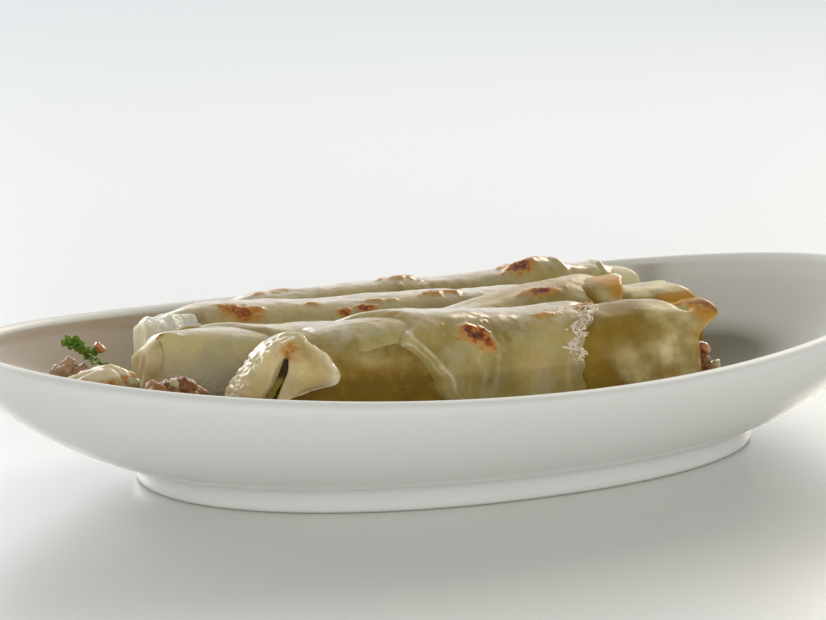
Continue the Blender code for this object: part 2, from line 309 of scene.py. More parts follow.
# %% [markdown]
# ## The dish
# The dish is one piece of glazed porcelain. From above it is an oval, and its two ends
# stand a little higher than its sides. Its wall flares out from a low foot ring. A turned
# shape would be round, so the wall is a loft: one oval after another from the hollow under
# the floor, out over the rim and down to the floor inside.

# %% Dish sizes and shape
HALF_LENGTH, HALF_WIDTH = 110.0, 62.2
RIM_HEIGHT, END_RISE, LIP = 26.1, 6.6, 1.6
FOOT_LENGTH, FOOT_WIDTH, FOOT_HEIGHT, FOOT_RING = 70.8, 43.5, 5.0, 4.0
FLOOR_LENGTH, FLOOR_WIDTH, FLOOR_TOP, WALL = 62.0, 35.0, 6.6, 4.4
FOOT_SQUARENESS = 2.13


def oval(half_length, half_width, squareness, height, rise, count):
    t = np.arange(count) * math.tau / count
    return np.stack([half_length * power(np.cos(t), 2.0 / squareness),
                     half_width * power(np.sin(t), 2.0 / squareness),
                     height + rise * np.cos(t) ** 2], -1)


def spread_out(level):
    return 0.03 + 0.97 * (1.0 - (1.0 - level) ** 1.6) ** 0.8


def spread_in(level):
    return (1.0 - (1.0 - level) ** 1.75) ** 0.62


def dish_rings(count):
    foot = lambda inset, z: oval(FOOT_LENGTH - inset, FOOT_WIDTH - inset, FOOT_SQUARENESS,
                                 z, 0.0, count)
    top = RIM_HEIGHT - LIP
    rings = [foot(FOOT_RING + 26.0, 2.3), foot(FOOT_RING + 3.0, 2.2), foot(FOOT_RING + 1.0, 2.0),
             foot(FOOT_RING + 0.4, 1.0), foot(FOOT_RING, 0.15), foot(FOOT_RING - 0.3, 0.0),
             foot(1.2, 0.0), foot(0.5, 0.15), foot(0.1, 0.7), foot(-0.05, 2.0), foot(-0.1, 3.6)]
    for u in np.concatenate([[0.004, 0.015, 0.03, 0.05], np.linspace(0.08, 1.0, 24)]):
        g = spread_out(u)
        rings.append(oval(mix(FOOT_LENGTH, HALF_LENGTH, g), mix(FOOT_WIDTH, HALF_WIDTH, g),
                          mix(FOOT_SQUARENESS, 2.0, g), mix(FOOT_HEIGHT, top, u),
                          END_RISE * u, count))
    for a in np.radians([20.0, 40.0, 60.0, 80.0, 100.0, 120.0, 140.0, 160.0]):
        inset = WALL / 2.0 * (1.0 - math.cos(a))
        rings.append(oval(HALF_LENGTH - inset, HALF_WIDTH - inset, 2.0,
                          top + LIP * math.sin(a), END_RISE, count))
    for u in np.concatenate([np.linspace(1.0, 0.08, 26), [0.05, 0.03, 0.015, 0.005, 0.0]]):
        g = spread_in(u)
        rings.append(oval(mix(FLOOR_LENGTH, HALF_LENGTH - WALL, g),
                          mix(FLOOR_WIDTH, HALF_WIDTH - WALL, g),
                          mix(FOOT_SQUARENESS, 2.0, g), mix(FLOOR_TOP, top, u),
                          END_RISE * u, count))
    rings.append(oval(FLOOR_LENGTH * 0.7, FLOOR_WIDTH * 0.7, 2.0, FLOOR_TOP, 0.0, count))
    rings.append(oval(FLOOR_LENGTH * 0.3, FLOOR_WIDTH * 0.3, 2.0, FLOOR_TOP, 0.0, count))
    return np.array(rings)


def dish_height(x, y):
    """Height of the inside of the dish under a point, found by halving the level."""
    low, high = np.zeros_like(x), np.ones_like(x)
    for _ in range(26):
        level = (low + high) / 2.0
        g = spread_in(level)
        a = mix(FLOOR_LENGTH, HALF_LENGTH - WALL, g)
        b = mix(FLOOR_WIDTH, HALF_WIDTH - WALL, g)
        outside = (x / a) ** 2 + (y / b) ** 2 > 1.0
        low, high = np.where(outside, level, low), np.where(outside, high, level)
    a = mix(FLOOR_LENGTH, HALF_LENGTH - WALL, spread_in(high))
    return mix(FLOOR_TOP, RIM_HEIGHT - LIP, high) + END_RISE * high * (x / a) ** 2


wall_height = float(dish_height(np.array(80.0), np.array(0.0)))
print("at x 80 the inside of the dish is", round(wall_height, 1), "mm above the table")

# %% [markdown]
# Glaze is clear glass over a white body. A glass layer of its own would cost render time, and
# a glossy shader looks the same. It is smooth enough to mirror the lights, and a slow ripple
# bends those mirrored lights a little. The foot ring is matt where it was wiped clean of
# glaze before firing.

# %% Glaze
def make_glaze():
    finish, tree, shader = new_finish("white_glaze", (0.86, 0.86, 0.83), 0.1)
    cloud = noise_node(tree, 40.0, 2.0)
    tint = blend_colour(tree, cloud, (0.85, 0.85, 0.81), (0.87, 0.87, 0.84))
    place = add(tree, "ShaderNodeTexCoord")
    split = add(tree, "ShaderNodeSeparateXYZ")
    tree.links.new(place.outputs["Object"], split.inputs["Vector"])
    bare = ramp(tree, split.outputs["Z"], 0.0002, 0.0008, 1.0, 0.0)
    # Painted shade: a warm brown tint inside the wall, and an olive grey painted shadow and reflection
    # of the roll ends at the right.
    painted_warm_shade = multiply(tree, stored(tree, "painted_warm_shade"), ramp(tree, cloud, 0.2, 0.7, 0.7, 1.0))
    tint = blend_colour(tree, painted_warm_shade, tint, (0.54, 0.43, 0.30))
    tint = blend_colour(tree, stored(tree, "shaded"), tint, (0.31, 0.29, 0.21))
    colour = blend_colour(tree, bare, tint, (0.70, 0.68, 0.62))
    tree.links.new(colour, shader.inputs["Base Color"])
    gloss = ramp(tree, noise_node(tree, 9.0, 3.0), 0.3, 0.7, 0.10, 0.17)
    rough = add(tree, "ShaderNodeMix", data_type="FLOAT")
    tree.links.new(bare, rough.inputs[0])
    tree.links.new(gloss, rough.inputs[2])
    rough.inputs[3].default_value = 0.6
    worn = add(tree, "ShaderNodeMath", operation="MAXIMUM")
    tree.links.new(rough.outputs[0], worn.inputs[0])
    tree.links.new(multiply(tree, stored(tree, "lip"), 0.42), worn.inputs[1])
    tree.links.new(worn.outputs[0], shader.inputs["Roughness"])
    relief(tree, shader, [(noise_node(tree, 22.0, 1.0), 0.10), (noise_node(tree, 3.0, 2.0), 0.004)])
    return finish


glaze = make_glaze()
print("the glaze is a graph of", len(glaze.node_tree.nodes), "nodes")

# %% [markdown]
# A picture could be painted on the dish, but three values stored on its mesh are enough. One
# is painted shade: a warm, darker tint inside the wall, mostly at the left end, standing in for
# the shade there and the warm light bounced from the food. One is a pair of painted shadows on
# the wall beyond the open ends at the right, the larger one also a painted reflection of the
# roll ends. The last marks the rim, which is worn rougher and mirrors less.

# %% The dish
INSIDE_RINGS = 33  # the last rings, from inside the rim down to the floor
LIP_RINGS = (37, 49)  # the rings over the rim, counted from under the dish

rings = dish_rings(300)
ring_number = np.arange(len(rings))[:, None] + 0.0 * rings[..., 0]
inside_wall = ring_number >= len(rings) - INSIDE_RINGS
lip = ((ring_number >= LIP_RINGS[0]) & (ring_number <= LIP_RINGS[1])) * 1.0
low_down = smooth((RIM_HEIGHT + 8.0 - rings[..., 2]) / 8.0)
# Painted warm shade inside the wall, strongest at the left end, weaker near the rim and at the back.
painted_warm_shade = inside_wall * (0.08 + 1.2 * smooth((-15.0 - rings[..., 0]) / 50.0)) * low_down
painted_warm_shade = painted_warm_shade * (1.0 - 0.22 * smooth(rings[..., 1] / 20.0))
# Painted shadow and reflection of the roll ends on the inner wall at the right, and a small painted
# shadow behind the fourth roll's end.
shadow_spot = np.exp(-((rings[..., 0] - 78.0) / 13.0) ** 2 - ((rings[..., 1] - 15.0) / 14.0) ** 2)
shaded = 1.5 * shadow_spot * smooth((18.5 - rings[..., 2]) / 6.0)
shaded += 0.5 * np.exp(-((rings[..., 0] - 74.5) / 3.5) ** 2 - ((rings[..., 1] - 40.0) / 3.0) ** 2)
dish = make_loft("oval_dish", rings, glaze,
                 {"painted_warm_shade": painted_warm_shade, "shaded": shaded * inside_wall, "lip": lip}, flip=True)
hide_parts("dish")

# %% [markdown]
# ## The rolls
# A sheet of pasta rolled round the filling gives a tube that sags a little under its own
# weight: its cross-section is between round and square. Each roll has its own centre line,
# width and ridge height. Angle 0 is its front side, 90 its ridge and 180 its back.
#
# In the table, y is the centre line, x0 and x1 are the two ends, half is half the width, base
# is the height of the underside, and top gives the ridge's height at the left end, in the
# middle and at the right end. A bump of the ridge is (place, rise, reach). slant draws the
# foot of the left end out, cut draws the front of the right end out, and ear is how far the
# free corner stands out at the angle ear_at. narrow thins the left end at its back, and box
# is 1 where that end is pressed to a box.

# %% Roll sizes and cross-section
SHEET = 1.3
SQUARENESS, PRESSED_SQUARENESS = 2.5, 6.0
LEAN = -0.085
TOP_TILT, FACE_TURN, FOOT_SPREAD = 0.42, 0.62, 0.24
ROLLS = {
    1: dict(y=-24.5, x0=-50.5, x1=38.3, half=12.1, base=7.3, top=(34.9, 35.5, 34.8),
            slant=9.0, ear=6.4, ear_at=74.0, cut=0.0, narrow=0.0, box=0.0,
            bumps=((-24.0, 0.9, 15.0), (3.0, -1.2, 11.0), (29.0, 0.8, 6.0))),
    2: dict(y=-0.8, x0=-72.6, x1=40.2, half=11.1, base=7.3, top=(34.2, 29.2, 36.5),
            slant=0.0, ear=0.0, ear_at=80.0, cut=-0.6, narrow=0.1, box=1.0,
            bumps=((-74.0, -3.4, 4.2), (-46.0, -0.8, 12.0))),
    3: dict(y=20.8, x0=-63.3, x1=64.3, half=9.9, base=7.3, top=(32.0, 30.2, 29.2),
            slant=0.3, ear=0.0, ear_at=80.0, cut=0.35, narrow=0.1, box=1.0, bumps=()),
    4: dict(y=39.2, x0=-38.0, x1=61.8, half=8.0, base=11.6, top=(28.8, 29.6, 30.2),
            slant=1.0, ear=0.0, ear_at=100.0, cut=0.4, narrow=0.2, box=0.0, bumps=()),
}


def ridge(roll, x):
    s = (x - roll["x0"]) / (roll["x1"] - roll["x0"])
    left, middle, right = roll["top"]
    height = np.where(s < 0.5, mix(left, middle, smooth(s * 2.0)),
                      mix(middle, right, smooth(s * 2.0 - 1.0)))
    for place, rise, reach_x in roll["bumps"]:
        height = height + rise * np.exp(-((x - place) / reach_x) ** 2)
    return height + 0.2 * np.sin(x * 0.17 + roll["y"])


def section(roll, x, inset=0.0):
    """Centre and half sizes of a roll's cross-section at x."""
    low = roll["base"] + inset
    half_h = (ridge(roll, x) - inset - low) / 2.0
    return roll["y"] + LEAN * x, low + half_h, roll["half"] - inset, half_h


def roll_point(roll, x, angle, proud=0.0, squareness=SQUARENESS):
    """The point of a roll's surface at x and angle, standing proud of it by some mm."""
    y, z, half_w, half_h = section(roll, x, -proud)
    return np.stack([x + 0.0 * angle, y - half_w * power(np.cos(angle), 2.0 / squareness),
                     z + half_h * power(np.sin(angle), 2.0 / squareness)], -1)


def skin_point(roll, x, angle, proud=0.0):
    """The same on a pressed left end, which is boxy and whose top tilts down at the back."""
    from_end = x - roll["x0"] + 0.0 * angle
    boxy = roll["box"] * (1.0 - smooth(from_end / 11.0))
    p = mix(roll_point(roll, x, angle, proud),
            roll_point(roll, x, angle, proud, PRESSED_SQUARENESS), boxy[..., None])
    behind = np.maximum(0.0, p[..., 1] - roll["y"] - LEAN * p[..., 0] + 0.62 * roll["half"])
    upper = smooth((p[..., 2] - section(roll, p[..., 0])[1]) / 6.0)
    p[..., 2] -= TOP_TILT * roll["box"] * (1.0 - smooth(from_end / 26.0)) * behind * upper
    retreat = np.maximum(0.0, behind - 0.62 * roll["half"] + 1.6) * (1.0 - smooth(from_end / 16.0))
    spread = np.clip(30.0 - p[..., 2], 0.0, 12.0) * (1.0 - smooth(from_end / 7.0))
    p[..., 0] += roll["box"] * (FACE_TURN * retreat - FOOT_SPREAD * spread)
    return p


print("roll lengths in mm:", [round(roll["x1"] - roll["x0"]) for roll in ROLLS.values()])

# %% [markdown]
# The left end of each roll is shut and the right end is open. On the first roll the sheet's
# free corner stands out at the right. It could be a flap of its own, but it is the same
# sheet, so the end of the tube is drawn out there. Where the grill reached the pasta, a
# browned value goes on the mesh.

# %% Ends of the tubes
def end_line(roll, angle):
    """Where the sheet ends at the right, with its free corner standing out."""
    degree = np.degrees(angle)
    ear = smooth((degree - 24.0) / 34.0) ** 1.5 * (1.0 - smooth((degree - 84.0) / 11.0))
    ear = ear * (1.0 - 0.12 * np.minimum(1.0, ((degree - 68.0) / 18.0) ** 2))
    aslant = roll["cut"] * roll["half"] * np.maximum(0.0, power(np.cos(angle), 0.8))
    return roll["x1"] + roll["ear"] * ear + aslant - 0.25 * np.sin(angle * 5.0)


def from_centre(roll, p, x_centre):
    """Unit steps from the roll's centre line out to points p, across the roll."""
    out = p - np.stack([p[:, 0], roll["y"] + LEAN * p[:, 0],
                        p[:, 0] * 0.0 + section(roll, x_centre)[1]], -1)
    out[:, 0] = 0.0
    return out, out / (np.linalg.norm(out, axis=1, keepdims=True) + 1e-9)


def toasted(number, roll, x, degree, end):
    """How browned the sheet is: along its free edge, and where the grill reached it."""
    ear = np.exp(-((degree - roll["ear_at"]) / 34.0) ** 2)
    value = np.exp(-((end - x) / 2.6) ** 2) * (0.06 + 0.5 * ear)
    if number == 1:
        upper = smooth((degree - 50.0 + 2.0 * (x - 40.0)) / 15.0)
        corner = smooth((x - 37.0) / 4.0) * (0.30 * ear + 0.66 * upper)
        return np.maximum(value, corner * (np.abs(degree) < 110.0))
    if number == 2:
        top_edge = smooth((degree - 80.0) / 5.0) * smooth((100.0 - degree) / 7.0)
        left = 0.5 * smooth((-60.0 - x) / 2.0) * smooth((x + 72.0) / 2.0)
        right = 0.64 * smooth((x - 31.5) / 4.5) * smooth((38.6 - x) / 0.8)
        right = right * smooth((degree - 42.0) / 14.0) * (np.abs(degree) < 105.0)
        return np.maximum(np.maximum(value, left * top_edge) * (x < 39.0), right)
    if number == 3:
        side = smooth((66.0 - degree) / 8.0) * smooth((degree - 34.0) / 8.0)
        return np.maximum(value * (degree < 60.0), 0.42 * smooth((x - 56.5) / 3.5) * side)
    return 0.3 * value


print("the free corner stands out by", ROLLS[1]["ear"], "mm")

# %% [markdown]
# Each tube is a loft of rings from its shut end to its open end. Cooked pasta is never quite
# flat, so the rings get shallow dents, nearly all inwards, because the cheese lies on them.
# A few smaller rings close the left end. Others turn in at the right end, where a flat cap
# would hide how thick the sheet is.

# %% Pasta tubes
TURN_IN = (0.0, 0.25, 1.2, 3.0, 6.0)


def tube_ring(roll, number, s, angle, end):
    """The ring at share s of a tube's length, and how far along it each point is."""
    degree = np.degrees(angle)
    from_start = s * (roll["x1"] - roll["x0"])
    x = mix(roll["x0"], end, s)
    inside_end = np.minimum(x, roll["x1"])
    p = skin_point(roll, inside_end, angle)
    out, unit = from_centre(roll, p, roll["x0"] + 8.0)
    back = smooth(-np.cos(angle) * 1.4)
    thin = 1.0 - roll["narrow"] * back * (1.0 - smooth(from_start / 12.0))
    rounded = (1.0 - (1.0 - min(1.0, from_start / 3.0)) ** 2) ** 0.5
    p[:, 1] += out[:, 1] * (thin - 1.0)
    p[:, 1:] -= out[:, 1:] * (0.20 - 0.17 * roll["box"]) * (1.0 - rounded)
    flare = np.maximum(0.0, x - roll["x1"] - 0.5)
    flare = flare * np.exp(-((degree - roll["ear_at"]) / 30.0) ** 2)
    p[:, 1] -= 0.12 * flare
    p[:, 2] += 0.06 * flare
    if number == 1:
        p[:, 2] -= (1.3 * np.exp(-((x - 38.6) / 1.5) ** 2) * smooth((degree - 62.0) / 14.0)
                    * smooth((150.0 - degree) / 20.0))
    slant = roll["slant"] * (0.5 - 0.5 * np.sin(angle)) * (1.0 - smooth(s * 5.0))
    p[:, 0] += x - inside_end - slant
    dent = rough_field(p, (9.0, 6.0, 6.0), 10 + number) * 0.22 - 0.15
    dent = dent + field(p, (2.6, 1.8, 1.8), 20 + number) * 0.05
    p[:, 1:] += unit[:, 1:] * dent[:, None]
    p[:, 2] = np.maximum(p[:, 2], dish_height(p[:, 0], p[:, 1]) + 0.4)
    return p, x


def shut_end(roll, number, ring):
    """Smaller and smaller rings that close the left end, a little puckered."""
    closed = []
    for share, depth in ((0.12, 0.0), (0.35, -0.1), (0.7, -0.4)):
        p = mix(ring, ring.mean(0)[None], share)
        pucker = depth - 1.3 * np.abs(rough_field(p, (3.0, 3.0, 3.0), 70 + number))
        p[:, 0] += pucker * (1.0 - 0.8 * roll["box"])
        closed.insert(0, p)
    return closed


def turned_in(roll, ring):
    """Rings that turn in at the open end and run back along the inside."""
    inside = []
    for depth in TURN_IN:
        p = ring.copy()
        unit = from_centre(roll, p, roll["x1"])[1]
        p -= unit * (SHEET if depth else SHEET * 0.5)
        p[:, 0] -= depth - 0.3 * (depth == 0.0)
        inside.append(p)
    return inside


def tube_grid(roll, number, along=150, around=140):
    """All rings of a tube, and how browned each of their points is."""
    angle = np.arange(around) * math.tau / around
    degree = np.degrees((angle + math.pi) % math.tau - math.pi)
    angle = np.radians(degree)
    end = end_line(roll, angle)
    steps = np.concatenate([[0.0, 0.003, 0.007, 0.012, 0.018, 0.026], np.linspace(0.035, 1.0, along)])
    rows, brown = [], []
    for s in steps:
        p, x = tube_ring(roll, number, s, angle, end)
        rows.append(p)
        brown.append(toasted(number, roll, x, degree, end))
    closed, inside = shut_end(roll, number, rows[0]), turned_in(roll, rows[-1])
    brown = [brown[0]] * len(closed) + brown + [brown[-1] * math.exp(-depth) for depth in TURN_IN]
    return np.array(closed + rows + inside), np.array(brown)


print("a tube has", len(tube_grid(ROLLS[4], 4)[0]), "rings")

# %% [markdown]
# Pasta cooked in sauce is a dull ochre yellow that lets a little light in. Its free edges
# are toasted orange and brown. Thin cheese has run down in places and dried to paler
# patches. A painted picture would need the mesh to be unwrapped, and values stored on its
# points don't: one says how browned a place is, another how much thin cheese lies there.

# %% Pasta finish
def make_pasta_finish():
    finish, tree, shader = new_finish("cooked_pasta", (0.5, 0.38, 0.12), 0.35)
    broad = noise_node(tree, 14.0, 3.0)
    fine = noise_node(tree, 2.2, 4.0, rough=0.6)
    ochre = blend_colour(tree, ramp(tree, broad, 0.3, 0.7),
                         (0.20, 0.115, 0.009), (0.32, 0.20, 0.022))
    ochre = blend_colour(tree, ramp(tree, fine, 0.52, 0.72, 0.0, 0.55), ochre, (0.40, 0.27, 0.06))
    pale = multiply(tree, stored(tree, "film"), ramp(tree, noise_node(tree, 5.0, 3.0), 0.28, 0.66))
    colour = blend_colour(tree, pale, ochre, (0.60, 0.50, 0.24))
    colour = blend_colour(tree, ramp(tree, stored(tree, "film"), 1.0, 2.5), colour, (0.96, 0.88, 0.64))
    toast = stored(tree, "brown")
    warm = ramp(tree, toast, 0.05, 0.45)
    colour = blend_colour(tree, warm, colour, (0.58, 0.29, 0.05))
    dark = multiply(tree, ramp(tree, toast, 0.6, 1.0), ramp(tree, fine, 0.35, 0.6))
    colour = blend_colour(tree, dark, colour, (0.24, 0.085, 0.022))
    tree.links.new(colour, shader.inputs["Base Color"])
    tree.links.new(ramp(tree, fine, 0.3, 0.7, 0.28, 0.46), shader.inputs["Roughness"])
    shader.inputs["Specular IOR Level"].default_value = 0.2
    shader.inputs["Specular Tint"].default_value = (1.0, 0.84, 0.62, 1.0)
    shader.inputs["Coat Weight"].default_value = 0.03
    shader.inputs["Coat Roughness"].default_value = 0.2
    soften(shader, 0.25, (1.0, 0.7, 0.3), 2.5)
    relief(tree, shader, [(broad, 0.25), (fine, 0.10), (noise_node(tree, 0.7, 2.0), 0.02)])
    return finish


pasta_finish = make_pasta_finish()
print("the pasta's finish is a graph of", len(pasta_finish.node_tree.nodes), "nodes")

# %% [markdown]
# Thin cheese on a tube is too thin to be a piece of its own, so it is a value from 0 to about
# 2.5, laid down as soft spots and bands. On the first roll it makes pale patches at the right
# and a hem below the sheet at the left. On the others it lies at the ends, which stick out
# from under the sheet.

# %% Thin cheese on the tubes
def soft_spot(a, b, middle_a, middle_b, half_a, half_b):
    """1 at the middle of a spot, falling away to 0 round it."""
    return np.exp(-((a - middle_a) / half_a) ** 2 - ((b - middle_b) / half_b) ** 2)


def thin_cheese(number, grid):
    """How much thin cheese lies on each point of a tube."""
    x, z = grid[..., 0], grid[..., 2]
    if number == 1:
        film = 1.12 * soft_spot(x, z, 22.5, 22.0, 8.0, 6.0)
        film = film * smooth((x - 28.5 + 0.74 * (z - 9.0)) / 1.5)
        film = np.maximum(film, 1.38 * soft_spot(x, z, 31.0, 26.5, 5.4, 6.0))
        film = np.maximum(film, 0.85 * smooth((x - 25.0) / 6.0))
        film = np.maximum(film, smooth((x - 33.5) / 3.0))
        film = film * (1.0 + 0.35 * field(grid, 3.0, 61)) * (x > 5.0)
        hem = 27.4 - 0.03 * (x + 45.0) + 0.8 * field(grid, 4.0, 62)
        return np.maximum(film, 0.7 * smooth((z - hem) / 3.6) * (x < 0.0))
    if number == 2:
        film = 0.45 * smooth((-40.0 - x) / 8.0) * (0.8 + 0.4 * field(grid, 5.0, 63))
        film = np.maximum(film, 1.35 * smooth((-68.0 - x) / 2.0))
        film = np.maximum(film, smooth((x - 29.0) / 3.0))
        return np.maximum(film, 2.4 * smooth((x - 38.2) / 0.8))
    if number == 3:
        right = smooth((x - 50.0) / 3.0) * smooth((z - 26.5) / 1.5)
        return np.maximum(smooth((-50.0 - x) / 5.0) * 2.5, 1.4 * right)
    return 2.0 * smooth((x - 50.0) / 6.0)


for number, roll in ROLLS.items():
    grid, brown = tube_grid(roll, number)
    tube = make_loft(f"pasta_tube_{number}", grid, pasta_finish,
                     {"brown": brown, "film": thin_cheese(number, grid)})
    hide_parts(f"pasta_roll_{number}")

# %% [markdown]
# ## The melted cheese
# The cheese is one thin sheet that lies over all four rolls and sags between them. At the
# front it hangs down the first roll. Its left edge there thins out to a film, and its right
# edge is crumpled. The sheet is built as rays: they turn from the front of the first roll up
# to its ridge, then stand upright across the rolls, then turn down behind the last one.

# %% Cheese outline
SAG = 0.48
MELT = 1.3
EDGE_AT = (-24.5, -20.0, -10.0, -0.8, 8.0, 13.0, 20.8, 30.0, 39.2)
LEFT_EDGE = (-32.0, -40.0, -44.0, -54.0, -60.0, -58.0, -58.0, -52.0, -36.0)
RIGHT_EDGE = (21.0, 23.0, 29.0, 33.0, 42.0, 48.0, 52.0, 58.0, 63.0)
FRONT_ANGLE = (-24.0, 6.0, 20.0, 35.0, 52.0, 75.0, 90.0)
FRONT_LEFT = (-20.8, -23.0, -24.8, -26.4, -29.4, -30.6, -32.0)
FRONT_RIGHT = (11.6, 11.4, 11.6, 11.5, 14.0, 18.5, 21.0)
CENTRES = [roll["y"] for roll in ROLLS.values()]


def reach(roll, x, y, z, dy, dz):
    """How far rays go from inside a roll to its surface, by halving."""
    cy, cz, half_w, half_h = section(roll, x)
    inner, outer = np.zeros_like(x), np.full_like(x, 60.0)
    for _ in range(34):
        t = (inner + outer) / 2.0
        inside = (np.abs((y + dy * t - cy) / half_w) ** SQUARENESS
                  + np.abs((z + dz * t - cz) / half_h) ** SQUARENESS) < 1.0
        inner, outer = np.where(inside, t, inner), np.where(inside, outer, t)
    return outer


def sheet_height(x, y):
    """Height of the underside of the cheese over the rolls, sagging between them."""
    total = np.zeros_like(x)
    for roll in ROLLS.values():
        middle, _, half, half_h = section(roll, x)
        away = np.minimum(1.7, np.abs(y - middle) / half)
        height = ridge(roll, x) - SAG * half_h * away ** 3
        here = smooth((x - roll["x0"] + 2.0) / 3.0) * smooth((roll["x1"] + 3.0 - x) / 3.0)
        total += np.exp((height - 30.0) / MELT) * here + 1e-9
    return 30.0 + MELT * np.log(total)


print("cheese reaches from x", min(LEFT_EDGE), "to", max(RIGHT_EDGE))

# %% [markdown]
# The grill has blistered the cheese where it lies highest. Noise would scatter such spots
# anywhere, so each is given one by one: its roll, its place along it and its angle, then its
# length, width and strength. The strength goes on the mesh as a value, and the surface rises
# there as a small blister.

# %% Browned spots
SPOTS = [
    # roll, along, angle, length, width, strength
    (1, -13.6, 52.0, 2.3, 1.5, 1.25), (1, -12.0, 46.0, 2.2, 1.6, 1.45), (1, -10.5, 39.0, 1.5, 1.5, 1.10),
    (2, -69.5, 70.0, 2.4, 0.9, 0.75), (2, -66.5, 73.0, 2.4, 0.8, 0.95), (2, -63.0, 76.0, 2.6, 0.9, 1.10),
    (1, 5.1, 74.0, 2.4, 1.0, 0.60), (1, 17.0, 87.0, 2.6, 1.1, 0.85), (1, 15.0, 82.0, 1.5, 0.8, 0.7),
    (1, -30.7, 84.0, 3.4, 0.4, 0.75), (1, -27.0, 90.0, 2.0, 0.4, 0.4), (1, 9.3, 45.0, 1.2, 1.2, 0.35),
    (1, 0.0, 20.0, 4.0, 3.0, 0.20), (2, 18.4, 69.0, 2.4, 1.7, 1.40), (2, 16.4, 76.0, 3.6, 1.6, 0.50),
    (2, 20.8, 66.0, 2.2, 1.2, 0.60), (2, 30.0, 85.0, 3.5, 1.5, 0.40), (3, -42.6, 63.0, 2.6, 2.2, 0.85),
    (3, -40.2, 55.0, 3.0, 2.4, 0.95), (3, -37.5, 62.0, 2.4, 1.6, 0.60), (3, -17.6, 50.0, 1.9, 1.2, 1.20),
    (3, -13.0, 54.0, 1.9, 1.1, 1.10), (3, -11.0, 56.0, 1.6, 0.9, 0.80), (3, -23.5, 75.0, 2.4, 0.8, 0.60),
    (3, 5.2, 79.0, 2.8, 1.4, 0.95), (3, 9.5, 82.0, 3.0, 1.0, 0.75), (3, -9.0, 70.0, 3.0, 1.2, 0.45),
    (3, 34.0, 80.0, 5.0, 2.4, 0.35), (4, 36.3, 78.0, 2.8, 1.9, 1.45), (4, 38.8, 84.0, 2.2, 1.4, 0.95),
    (4, 42.0, 92.0, 3.0, 2.0, 0.60), (4, -20.0, 97.0, 4.0, 1.6, 0.60), (4, 8.1, 90.0, 3.4, 1.6, 0.65),
    (4, -26.0, 88.0, 2.5, 1.2, 0.50),
]


def browned(points):
    """How browned each point is, from the spots, with ragged outlines."""
    total = np.zeros(points.shape[:-1])
    ragged = np.maximum(0.2, 1.0 + 0.8 * rough_field(points, 1.5, 71))
    for number, along, angle, length, width, strength in SPOTS:
        centre = skin_point(ROLLS[number], np.array(along), np.array(math.radians(angle)))
        away = points - centre
        far = (away[..., 0] / length) ** 2 + (away[..., 1] ** 2 + away[..., 2] ** 2) / width ** 2
        total = np.maximum(total, strength * np.exp(-(far * ragged) ** 1.15))
    return total


print("browned spots:", len(SPOTS))

# %% [markdown]
# A flat cloth dropped by a simulation would wrinkle like cloth. Cheese flows instead, so the
# sheet is drawn along rays that start inside the rolls: each point is its ray's start, plus
# the way out to the pasta, plus the cheese's own thickness there.

# %% Rays of the cheese sheet
FRONT, UPRIGHT, BEHIND = 0.0, 1.0, 2.0


def cheese_rays(along=232, front=64, middle=104, back=16):
    """The kind, angle, start, direction and reach of each ray, and its way to both edges."""
    kind = np.concatenate([np.full(front, FRONT), np.full(middle + 1, UPRIGHT),
                           np.full(back, BEHIND)])[None, :]
    share = np.concatenate([np.arange(front) / front, np.arange(middle + 1) / middle,
                            np.arange(1, back + 1) / back])[None, :]
    s = np.linspace(0.0, 1.0, along + 1)[:, None]
    angle = np.where(kind == FRONT, mix(-24.0, 90.0, share),
                     np.where(kind == BEHIND, mix(90.0, 138.0, share), 90.0)) + 0.0 * s
    y = mix(CENTRES[0], CENTRES[3],
            np.where(kind == UPRIGHT, share, np.where(kind == BEHIND, 1.0, 0.0)))
    way = np.stack([y + angle * 0.22, y * 0.0 + angle * 0.0, y * 0.0 + angle * 0.0], -1)
    left = np.where(kind == FRONT, np.interp(angle, FRONT_ANGLE, FRONT_LEFT),
                    np.interp(y, EDGE_AT, LEFT_EDGE)) + 0.8 * field(way, 2.6, 3)
    right = np.where(kind == FRONT, np.interp(angle, FRONT_ANGLE, FRONT_RIGHT),
                     np.interp(y, EDGE_AT, RIGHT_EDGE)) + 0.7 * field(way, 2.2, 4)
    x = mix(left, right, s)
    z = mix(section(ROLLS[1], x)[1], section(ROLLS[4], x)[1],
            (y - CENTRES[0]) / (CENTRES[3] - CENTRES[0]))
    y = y + LEAN * x
    dy, dz = -np.cos(np.radians(angle)), np.sin(np.radians(angle))
    far = np.where(kind == UPRIGHT, sheet_height(x, y) - z,
                   np.where(kind == FRONT, reach(ROLLS[1], x, y, z, dy, dz),
                            reach(ROLLS[4], x, y, z, dy, dz)))
    return kind, angle, (x, y, z), (dy, dz), far, x - left, right - x


def along_rays(start, direction, far):
    """The points that lie some way along their rays."""
    (x, y, z), (dy, dz) = start, direction
    return np.stack([x, y + dy * far, z + dz * far], -1)


print("rays across the sheet:", cheese_rays(along=1)[1].shape[1])

# %% [markdown]
# Melted cheese thins out towards its edges and gathers to a bead along its free edge at the
# front. Elsewhere it lies in low folds and lumps, and a large blister stands on the fourth
# roll. In some places it is duller and a little browner. All of it is one thickness along the
# rays, with a few values for the finish.

